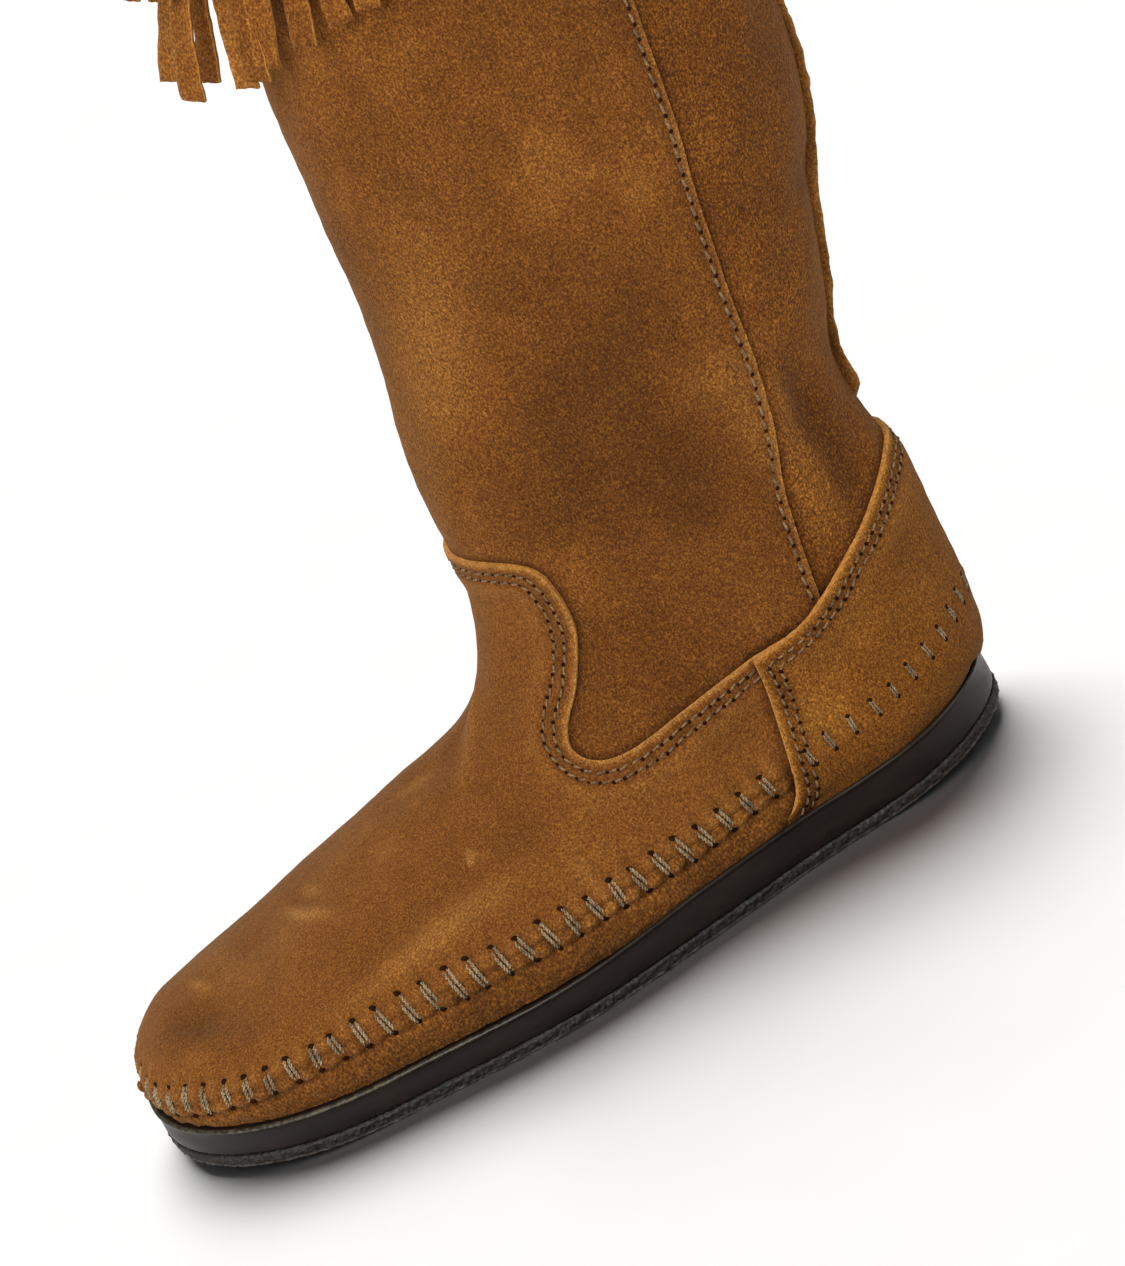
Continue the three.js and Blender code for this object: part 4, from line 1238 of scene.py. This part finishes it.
def hole(heap, centre, normal, across, radius=0.66):
    """A needle hole's painted shade: a small dark lens let into the surface."""
    sides = 8
    top, foot = sides, sides + 1
    other = np.cross(normal, across)
    angle = np.linspace(0, 2 * np.pi, sides, endpoint=False)[:, None]
    ring = centre + radius * (np.cos(angle) * across + np.sin(angle) * other)
    points = np.vstack([ring, centre + normal * HOLE_RISE, centre - normal * HOLE_DEPTH])
    faces = [(i, (i + 1) % sides, top) for i in range(sides)]
    faces += [((i + 1) % sides, i, foot) for i in range(sides)]
    heap.add(points, faces, 1)


STITCH_TAPER = np.array([0.6, 0.95, 1, 1, 0.95, 0.6])       # radii along one machine stitch
EDGE_STITCH = (3.3, 2.5)         # pitch and length of the stitches along the vamp and the counter
SIDE_STITCH = (4.4, 3.2)         # the same along the side seams, which have heavier thread
SIDE_THREAD = 0.85
STITCH_SLANT = 0.26              # sideways lean of a machine stitch at its ends
STITCH_RISE = 0.3                # its middle stands this far off the suede
STITCH_DIVE = 0.66               # and its ends sink by this much
HOLE_RISE = 0.14
HOLE_DEPTH = 0.6
HOLE_LIFT = 0.36                 # from the sunk end of a stitch back up to the suede


def sewn_row(name, tree, line, normals, pitch, length, seed, thickness=0.7):
    """A row of machine stitches along a line on the upper."""
    rng = np.random.default_rng(seed)
    run = run_along(line)
    count = int(run[-1] / pitch)
    heap = Heap()
    t = np.linspace(-1, 1, len(STITCH_TAPER))
    for k in range(count):
        middle = (k + 0.5) * run[-1] / count + rng.normal(0, 0.1)
        at = middle + t * length / 2 * rng.uniform(0.88, 1.06)
        path = read_line(at, run, line)
        up = unit(read_line(at, run, normals))
        side = np.cross(up[0], path[-1] - path[0])
        side = side / max(np.linalg.norm(side), 1e-6)
        path = landed(tree, path, up)
        path = path + side * (t[:, None] * STITCH_SLANT + rng.normal(0, 0.08))
        path = path + up * (STITCH_RISE - STITCH_DIVE * np.abs(t[:, None]) ** 3)
        heap.add(*tube(path, thickness / 2 * STITCH_TAPER, up))
        gap = unit(path[0] - path[-1]) * (pitch - length) / 2
        hole(heap, path[0] + gap + up[0] * HOLE_LIFT, up[0], side)
    return dress(heap.piece(name, [SEWING_THREAD, PAINTED_HOLE_SHADE]), "thread")


# Sizes of the hand stitches at places x along the foot; the slant leans a stitch's top towards the toe.
WHIP_LENGTHS = (
    (-132, 8), (-108, 7.8), (-92, 6.8), (-70, 8), (-45, 9.4), (0, 9), (50, 8), (76, 6), (140, 5.4),
)
WHIP_SLANTS = (
    (-132, 0), (-118, -1.4), (-90, -0.4), (-60, 1.4), (-30, 2.2), (40, 2.0), (76, 0.8), (140, 0.4),
)
WHIP_RADII = ((-132, 0.34), (60, 0.33), (80, 0.21), (140, 0.2))
WHIP_ABOVE = 0.56                # share of a hand stitch that lies above the seam
WHIP_TURN = 2.4                  # mm of thread in one turn of its two plies
WHIP_CLEAR = 3.4                 # no hand stitch this near the counter's edge
# In thread radii: each cord's way off the stitch's middle, a ply's radius, its way off the cord's middle,
# and the radius of a hole.
CORDS_APART = 2.1
PLY_RADIUS = 0.88
PLY_OUT = 0.95
WHIP_HOLE = 3.6
ALONG_STITCH = np.linspace(0, 1, 16)


def whip_place(at, run):
    """Centre, normal, direction along the seam and direction up across it, for one hand stitch."""
    centre = read_line(at % run[-1], run, WHIP_LINE)
    normal = unit(read_line(at % run[-1], run, WHIP_NORMALS))
    ahead = read_line((at + 1) % run[-1], run, WHIP_LINE)
    behind = read_line((at - 1) % run[-1], run, WHIP_LINE)
    along = unit(ahead - behind)
    along = along if along[0] > 0 or abs(along[0]) < 0.05 else -along
    rise = np.cross(normal, along)
    return centre, normal, along, rise if rise[2] > 0 else -rise


def over_seam(tree, upper, lower, normal):
    """A hand stitch's path, arched over the surface, and the places on the surface under it."""
    t = ALONG_STITCH
    straight = mix(upper, lower, t[:, None])
    base = landed(tree, straight, np.tile(normal, (len(t), 1)))
    height = (base - straight) @ normal
    held = [0, 0.25, 0.75, 1]
    height = np.maximum(height, np.interp(t, held, np.interp(held, t, height)))
    arch = 0.75 * np.sin(np.pi * np.clip(t * 1.06 - 0.03, 0, 1)) ** 0.35 - 0.5
    return straight + normal * (height + arch)[:, None], base


def whip_stitches(tree):
    """Hand stitches of doubled two-ply thread over the gathered seam, thinner round the heel."""
    rng = np.random.default_rng(7)
    run = run_along(WHIP_LINE)
    heap = Heap()
    t = ALONG_STITCH
    for k in range(WHIP_COUNT):
        centre, normal, along, rise = whip_place(k * WHIP_STEP + rng.normal(0, 0.25), run)
        if abs(counter_field(centre[None])[0]) < WHIP_CLEAR:
            continue
        length = through(WHIP_LENGTHS, centre[0]) * rng.uniform(0.84, 1.08)
        slant = through(WHIP_SLANTS, centre[0]) + rng.normal(0, 0.5)
        upper = centre + rise * length * WHIP_ABOVE - along * slant / 2
        lower = centre - rise * length * (1 - WHIP_ABOVE) + along * slant / 2
        path, base = over_seam(tree, upper, lower, normal)
        across = unit(np.cross(normal, lower - upper))
        thick = through(WHIP_RADII, centre[0])
        radii = thick * np.clip(np.sin(np.pi * (0.06 + 0.88 * t)) ** 0.3, 0.6, 1)
        for cord in (-1, 1):
            splay = rng.uniform(-0.1, 0.5) * (2 * t - 1) * rng.choice([-1, 1])
            apart = cord * thick * (CORDS_APART + splay)
            middle = path + across * apart[:, None] + unit(lower - upper) * rng.normal(0, 0.35)
            turn = 2 * np.pi * t * length / WHIP_TURN + rng.uniform(0, 3)
            for ply in (0, math.pi):
                around = np.cos(turn + ply)[:, None] * across + np.sin(turn + ply)[:, None] * normal
                twisted = middle + PLY_OUT * thick * around
                heap.add(*tube(twisted, PLY_RADIUS * radii, np.tile(normal, (len(t), 1)), sides=6))
        for end in (0, -1):
            hole(heap, base[end] + normal * 0.08, normal, across, WHIP_HOLE * thick)
    return dress(heap.piece("whip_stitches", [WHIP_THREAD, PAINTED_HOLE_SHADE]), "thread")


def make_stitches():
    tree = surface_tree()
    whip_stitches(tree)

    def off_counter(p):
        return counter_field(p) < 1.0

    def over_sole(p):
        return p[:, 2] > SKIN_FOOT_Z + 2 + spring_rise(p[:, 0])

    def above_counter(p):
        return (counter_field(p) < -0.5) & (p[:, 2] < TOP_Z - 3)

    for i, row in enumerate(EDGE_ROWS):
        for word, field, wanted, seed in (("vamp", VAMP, off_counter, 11),
                                          ("counter", COUNTER, over_sole, 21)):
            line, normals = zero_line(field - row, wanted)
            sewn_row(f"{word}_stitches_{i + 1}", tree, line, normals, *EDGE_STITCH, seed + i)
    for side, word in ((-1, "lateral"), (1, "medial")):
        line, normals = zero_line(np.where(SKIN_POINTS[:, 1] * side > 0, FRONT - SIDE_ROW, 1.0),
                                  lambda p, side=side: above_counter(p) & (p[:, 1] * side > 1))
        sewn_row(f"side_seam_stitches_{word}", tree, line, normals, *SIDE_STITCH, 31 + side, SIDE_THREAD)


# ---- Fringe, headers and facing: sheets round the straight shaft ----
def oval_point(theta, z, out):
    """A point round the shaft; theta runs from the back seam round the outer side."""
    share = (z - STRAIGHT_Z) / (TOP_Z - STRAIGHT_Z)
    front, back = mix(SECTION_FRONTS[-1][0], TOP_FRONT_X, share), mix(SECTION_BACKS[-1][0], TOP_BACK_X, share)
    depth = (back - front) / 2 + out
    width = through(LEG_WIDTHS, z) + out
    x = (front + back) / 2 + depth * np.cos(theta)
    return np.stack(np.broadcast_arrays(x, -width * np.sin(theta), z), -1)


def oval_outward(theta):
    depth = (TOP_BACK_X - TOP_FRONT_X) / 2
    width = LEG_WIDTHS[-1][1]
    return unit(np.stack([np.cos(theta) / depth, -np.sin(theta) / width, np.zeros_like(theta)], -1))


OVAL_THETAS = np.linspace(0, 2 * np.pi, 1441)
OVAL_RUN = run_along(oval_point(OVAL_THETAS, np.full(len(OVAL_THETAS), TOP_Z), FRINGE_CLEAR))
OVAL_STITCHES = 80               # machine stitches in one row round the shaft
OVAL_STITCH_HALF = 1.6
OVAL_THREAD_RADIUS = 0.3
SEAM_ROOM = FLANGE_THICK + GAP / 2 + SLIT
STRAND_PITCH = (OVAL_RUN[-1] - 2 * SEAM_ROOM) / (SECTORS * STRANDS)


def theta_at(distance):
    return np.interp(distance, OVAL_RUN, OVAL_THETAS)


def fringe_length(theta):
    toward_shin = np.maximum(0, -np.cos(theta))
    return mix(FRINGE_SIDE_LENGTH, FRINGE_LENGTH, toward_shin ** 2)


def header_foot(tier):
    return TOP_Z - HEADER_HEIGHT - tier * TIER_PITCH


def oval_stitches(heap, places, z, out, way, rise):
    """Machine stitches round the shaft, on the outer (way 1) or the inner (way -1) side of a sheet."""
    t = np.linspace(-1, 1, len(STITCH_TAPER))
    for at in places:
        angles = theta_at(at + t * OVAL_STITCH_HALF)
        normal = oval_outward(angles)
        path = oval_point(angles, np.full(len(t), z), out)
        path = path + way * normal * (rise - 0.6 * np.abs(t[:, None]) ** 3)
        heap.add(*tube(path, OVAL_THREAD_RADIUS * STITCH_TAPER, normal), 3)


def even_places(margin):
    """Distances round the shaft of one row's stitches."""
    return margin + (np.arange(OVAL_STITCHES) + 0.5) * (OVAL_RUN[-1] - 2 * margin) / OVAL_STITCHES


def make_header(tier, tier_name):
    """The uncut strip that a tier hangs from, with its row of stitches."""
    foot = header_foot(tier)
    height = HEADER_HEIGHT - (GAP if tier == 0 else 0)
    theta = theta_at(np.linspace(SEAM_ROOM, OVAL_RUN[-1] - SEAM_ROOM, 360))[None]
    up = np.linspace(0, 1, 9)[:, None]
    theta = np.tile(theta, (len(up), 1))
    z = foot + height * up + np.zeros_like(theta)
    places = oval_point(theta, z, 0).reshape(-1, 3)
    wave = 0.16 * lumps(places, size=9, seed=60 + tier).reshape(theta.shape)
    pull = -0.28 * bell((up - 0.5) * height, 1.1)
    rims = 0.25 * (bell(up, 0.06) + bell(up - 1, 0.06))
    outer = oval_point(theta, z, GAP + FRINGE_THICK + wave + pull - rims)
    heap = Heap()
    heap.add(*solid_sheet(outer, oval_point(theta, z, GAP + 0.05)))
    rng = np.random.default_rng(70 + tier)
    places = even_places(SEAM_ROOM) + rng.normal(0, 0.05, OVAL_STITCHES)
    oval_stitches(heap, places, foot + height / 2, GAP + FRINGE_THICK, 1, 0.1)
    materials = [SUEDE_FRINGE, SUEDE_FLESH, RAW_EDGE, SEWING_THREAD]
    return dress(heap.piece(f"fringe_header_{tier_name}_strip", materials), "suede_fringe",
                 f"fringe_header_{tier_name}")


FRINGE_ROWS = 34                 # steps down a strand
FRINGE_COLUMNS = 6               # steps across a strand
LOW_LEAN = 1.0                   # degrees off plumb at the root
UPPER_LEAN = 4.3                 # more for the upper tiers, which lie on the ones below
LOW_LEAST = 0.4                  # no part of a strand leans less than this
UPPER_LEAST = 3.2
SHIN_TURN = 42                   # degrees by which the strands at the shin turn edge-on


def hanging_line(tier, theta, at_front, normal, drop, share, hung, rng):
    """The middle line of one strand: it leans, is thrown out, curls and sways on its way down."""
    sideways = np.array([-normal[1], normal[0], 0.0])
    if sideways @ (oval_point(theta + 0.01, TOP_Z, 0) - oval_point(theta, TOP_Z, 0)) < 0:
        sideways = -sideways
    low_tier = tier == len(TIER_NAMES) - 1
    lean = math.radians(LOW_LEAN if low_tier else UPPER_LEAN)
    throw = math.radians(rng.uniform(0, 6) + at_front * rng.uniform(6, 28))
    curl = math.radians(rng.uniform(-12, 10 + 12 * at_front))
    angle = lean + throw * hung * (1 - 0.4 * share) + curl * ease(0.55, 1, share) * share
    angle = np.maximum(angle, math.radians(LOW_LEAST if low_tier else UPPER_LEAST))
    step = np.diff(drop)
    out = FRINGE_CLEAR + FRINGE_THICK / 2 + 0.1 + np.concatenate([[0], np.cumsum(np.sin(angle[1:]) * step)])
    down = np.concatenate([[0], np.cumsum(np.cos(angle[1:]) * step)])
    drift = rng.uniform(-3.4, 3.4) * share ** 1.6
    sway = drift + rng.uniform(-0.8, 0.8) * np.sin(share * math.pi * 1.5) * share
    top = header_foot(tier) - 0.1
    lowered = oval_point(np.full(len(drop), theta), top - down, 0)
    centre = lowered + normal * out[:, None] + sideways * sway[:, None]
    centre[0] = oval_point(theta, top, 0) + normal * out[0]
    return centre


def strand(tier, sector, number, rng):
    """One hanging strand: its middle line widened, twisted, cupped and cut a little unevenly."""
    theta = theta_at(SEAM_ROOM + (sector * STRANDS + number) * STRAND_PITCH + STRAND_PITCH / 2)
    normal = oval_outward(np.array(theta))
    at_front = float(bell(abs(theta - math.pi), 0.75))
    length = fringe_length(theta)
    drop = np.linspace(0, length + rng.uniform(-1.5, 0.5), FRINGE_ROWS + 1)
    share = drop / length
    hung = ease(ROOT_HEIGHT / length, 0.5, share)
    centre = hanging_line(tier, theta, at_front, normal, drop, share, hung, rng)
    along = unit(np.gradient(centre, axis=0))
    face = unit(normal - along * (along @ normal)[:, None])
    across = np.cross(along, face)
    turned = math.radians(rng.uniform(-13, 13) - SHIN_TURN * at_front)
    twist = turned * share ** 1.3 * hung
    cos, sin = np.cos(twist)[:, None], np.sin(twist)[:, None]
    face, across = face * cos + across * sin, across * cos - face * sin
    free = ease(ROOT_HEIGHT - 1, ROOT_HEIGHT + 1.5, drop)
    half = STRAND_PITCH / 2 - free * (SLIT / 2 + rng.uniform(-0.1, 0.15))
    v = np.linspace(-1, 1, FRINGE_COLUMNS + 1)
    wobble = 0.15 * rng.normal(size=(2, len(drop))) * free
    left, right = half + wobble[0], half + wobble[1]
    spread = np.where(v[None] < 0, left[:, None], right[:, None]) * v[None]
    cup = rng.uniform(-0.6, 0.8) * share[:, None] * (v[None] ** 2 - 0.4)
    surface = centre[:, None] + across[:, None] * spread[..., None] + face[:, None] * cup[..., None]
    end_cut = along[-1] * (rng.uniform(-0.5, 0.5) * v + rng.normal(0, 0.12, len(v)))[:, None]
    surface[-1] += end_cut
    thick = FRINGE_THICK / 2 * (1 - 0.08 * v[None, :, None] ** 2) * np.ones((len(drop), 1, 1))
    grain = 0.07 * lumps(surface.reshape(-1, 3), size=2.2, seed=77).reshape(surface.shape[:2])[..., None]
    return surface + face[:, None] * (thick + grain), surface - face[:, None] * (thick - grain)


def make_fringe_group(tier, tier_name, sector):
    """A comb of strands in one piece, which bend away just under its header."""
    rng = np.random.default_rng(1000 + 100 * tier + sector)
    node = f"fringe_{tier_name}_{sector + 1}"
    heap = Heap()
    for number in range(STRANDS):
        outer, inner = strand(tier, sector, number, rng)
        points, faces, slots = solid_sheet(outer, inner)
        shade = rng.uniform(-0.2, 0.22)
        v = np.tile(np.abs(np.linspace(-1, 1, FRINGE_COLUMNS + 1)), (FRINGE_ROWS + 1, 1)).ravel()
        heap.add(points, faces, slots, shade + 0.3 * np.tile(v ** 6, 2))
    piece = heap.piece(f"{node}_strands", [SUEDE_FRINGE, SUEDE_FLESH, RAW_EDGE])
    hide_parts(node)
    middle = theta_at(SEAM_ROOM + (sector + 0.5) * STRANDS * STRAND_PITCH)
    hinge = oval_point(middle, header_foot(tier) - HANG_GAP, FRINGE_CLEAR) * MM
    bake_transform(piece)


FACING_MARGIN = 1.2              # the band stops this far from the back seam on both sides


def make_facing():
    """The band folded down inside the top edge, held by a row of stitches."""
    theta = theta_at(np.linspace(FACING_MARGIN, OVAL_RUN[-1] - FACING_MARGIN, 260))[None]
    down = np.linspace(0, 1, 14)[:, None]
    theta = np.tile(theta, (len(down), 1))
    z = TOP_Z - 0.4 - (FACING_HEIGHT - 0.4) * down + np.zeros_like(theta)
    places = oval_point(theta, z, 0).reshape(-1, 3)
    wave = 0.2 * lumps(places, size=14, seed=81).reshape(theta.shape)
    face = -SUEDE - GAP - FRINGE_THICK
    near = oval_point(theta, z, -SUEDE - GAP - 0.1)
    far = oval_point(theta, z, face + wave - 0.2 * (bell(down, 0.05) + bell(down - 1, 0.05)))
    heap = Heap()
    heap.add(*solid_sheet(far, near))
    oval_stitches(heap, even_places(FACING_MARGIN), TOP_Z - FACING_HEIGHT + 3, face, -1, 0.15)
    piece = heap.piece("top_facing_band", [SUEDE_FLESH, SUEDE_FLESH, RAW_EDGE, SEWING_THREAD])
    return dress(piece, "suede_lining", "top_facing")


def paint_inner_nodes():
    """The CAD pieces that keep their own shape: the board under the footbed and the heel stiffener."""
    for node in ("insole_board", "heel_stiffener"):
        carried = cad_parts[node]
        carried.data.materials.clear()
        carried.data.materials.append(BOARD)


# ---- Studio ----
VIEW_ELEVATION = math.radians(24)
VIEW_ROLL = math.radians(29.5)
VIEW_DISTANCE = 2.5
VIEW_TARGET = Vector((0.0343, 0.0, 0.0824))
VIEW_HEIGHT = 0.3485             # what the picture's height spans at the target
SENSOR = 36.0


def make_camera():
    back = Vector((0, -math.cos(VIEW_ELEVATION), math.sin(VIEW_ELEVATION)))
    right = Vector((1, 0, 0))
    up = right.cross(-back)
    turned_right = right * math.cos(VIEW_ROLL) - up * math.sin(VIEW_ROLL)
    turned_up = right * math.sin(VIEW_ROLL) + up * math.cos(VIEW_ROLL)
    data = bpy.data.cameras.new("camera")
    data.sensor_width = SENSOR
    data.lens = SENSOR * VIEW_DISTANCE / VIEW_HEIGHT
    data.clip_end = 50
    camera = bpy.data.objects.new("camera", data)
    turn = Matrix((turned_right, turned_up, back)).transposed().to_4x4()
    camera.matrix_world = Matrix.Translation(VIEW_TARGET + back * VIEW_DISTANCE) @ turn
    bpy.context.scene.collection.objects.link(camera)
    bpy.context.scene.camera = camera


def soft_light(name, place, aim, size, power):
    data = bpy.data.lights.new(name, "AREA")
    data.shape = "DISK"
    data.size = size
    data.energy = power
    data.color = LAMP_TINT
    lamp = bpy.data.objects.new(name, data)
    lamp.location = place
    lamp.rotation_mode = "QUATERNION"
    lamp.rotation_quaternion = (Vector(aim) - Vector(place)).to_track_quat("-Z", "Y")
    bpy.context.scene.collection.objects.link(lamp)
    return lamp


LAMP_TINT = (1, 0.99, 0.97)
BOOT_AIM = (0.03, 0, 0.12)
FLOOR_AIM = (0.02, 0, 0)
FOOT_PIECES = ("outsole", "midsole", "moccasin_wall", "vamp", "heel_counter", "whip")
FLOOR_REACH = 20.0               # metres from the middle of the floor to its edges


def make_floor():
    paper = Recipe("studio_floor", roughness=0.8, specular=0.1)
    fleck = paper.noise(40, 2)
    paper.surface("Base Color", paper.blend(fleck, (0.80, 0.80, 0.80, 1), (0.84, 0.84, 0.84, 1)))
    mesh = bpy.data.meshes.new("studio_floor")
    corners = [(x * FLOOR_REACH, y * FLOOR_REACH, 0) for x, y in ((-1, -1), (1, -1), (1, 1), (-1, 1))]
    mesh.from_pydata(corners, [], [(0, 1, 2, 3)])
    mesh.materials.append(paper.material)
    floor = bpy.data.objects.new("studio_floor", mesh)
    bpy.context.scene.collection.objects.link(floor)
    floor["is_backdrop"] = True
    return floor


def make_world():
    """A faint glow on everything, and an even pale backdrop that only the camera sees."""
    world = bpy.data.worlds.new("studio")
    world.use_nodes = True
    tree = world.node_tree
    glow = tree.nodes["Background"]
    glow.inputs["Color"].default_value = (0.95, 0.97, 1.0, 1)
    glow.inputs["Strength"].default_value = 0.07
    backdrop = tree.nodes.new("ShaderNodeBackground")
    backdrop.inputs["Color"].default_value = (0.9, 0.9, 0.9, 1)
    seen = tree.nodes.new("ShaderNodeLightPath")
    either = tree.nodes.new("ShaderNodeMixShader")
    tree.links.new(seen.outputs["Is Camera Ray"], either.inputs[0])
    tree.links.new(glow.outputs[0], either.inputs[1])
    tree.links.new(backdrop.outputs[0], either.inputs[2])
    tree.links.new(either.outputs[0], tree.nodes["World Output"].inputs["Surface"])
    bpy.context.scene.world = world
    bpy.context.scene.view_settings.view_transform = "Standard"


def light_the_boot(floor):
    """Lamps for the boot alone, and two suns for the floor alone, which only the foot shades."""
    boot_only = bpy.data.collections.new("boot_only")
    foot_only = bpy.data.collections.new("foot_only")
    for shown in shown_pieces():
        boot_only.objects.link(shown)
        if shown.name.startswith(FOOT_PIECES):
            foot_only.objects.link(shown)
    floor_only = bpy.data.collections.new("floor_only")
    floor_only.objects.link(floor)
    lamps = (
        ("key", (-0.2, 0.55, 1.4), 1.1, 7),
        ("fill_front", (-0.5, -1.35, 1.3), 1.1, 35),
        ("fill_toe", (-1.5, -0.7, 0.25), 0.8, 10),
        ("fill_heel", (1.4, -0.5, 0.9), 1.0, 11),
        ("fill_inner", (0.2, 1.5, 0.7), 1.0, 9),
    )
    for name, place, size, power in lamps:
        lamp = soft_light(name, place, BOOT_AIM, size, power)
        lamp.light_linking.receiver_collection = boot_only
    for name, place, spread, power in (("floor_high", (0.05, 0.8, 1.3), 50, 3.55),
                                       ("floor_low", (0.1, 1.2, 0.75), 40, 1.25)):
        lamp = soft_light(name, place, FLOOR_AIM, 1, power)
        lamp.data.type = "SUN"
        lamp.data.angle = math.radians(spread)
        lamp.data.energy = power
        lamp.light_linking.receiver_collection = floor_only
        lamp.light_linking.blocker_collection = foot_only


make_camera()
studio_floor = make_floor()
make_world()
make_upper()
for flange_side in (-1, 1):
    seam_flange(flange_side)
make_sole()
make_footbed()
paint_inner_nodes()
make_stitches()
for tier_number, tier_word in enumerate(TIER_NAMES):
    make_header(tier_number, tier_word)
    for sector_number in range(SECTORS):
        make_fringe_group(tier_number, tier_word, sector_number)
make_facing()
light_the_boot(studio_floor)
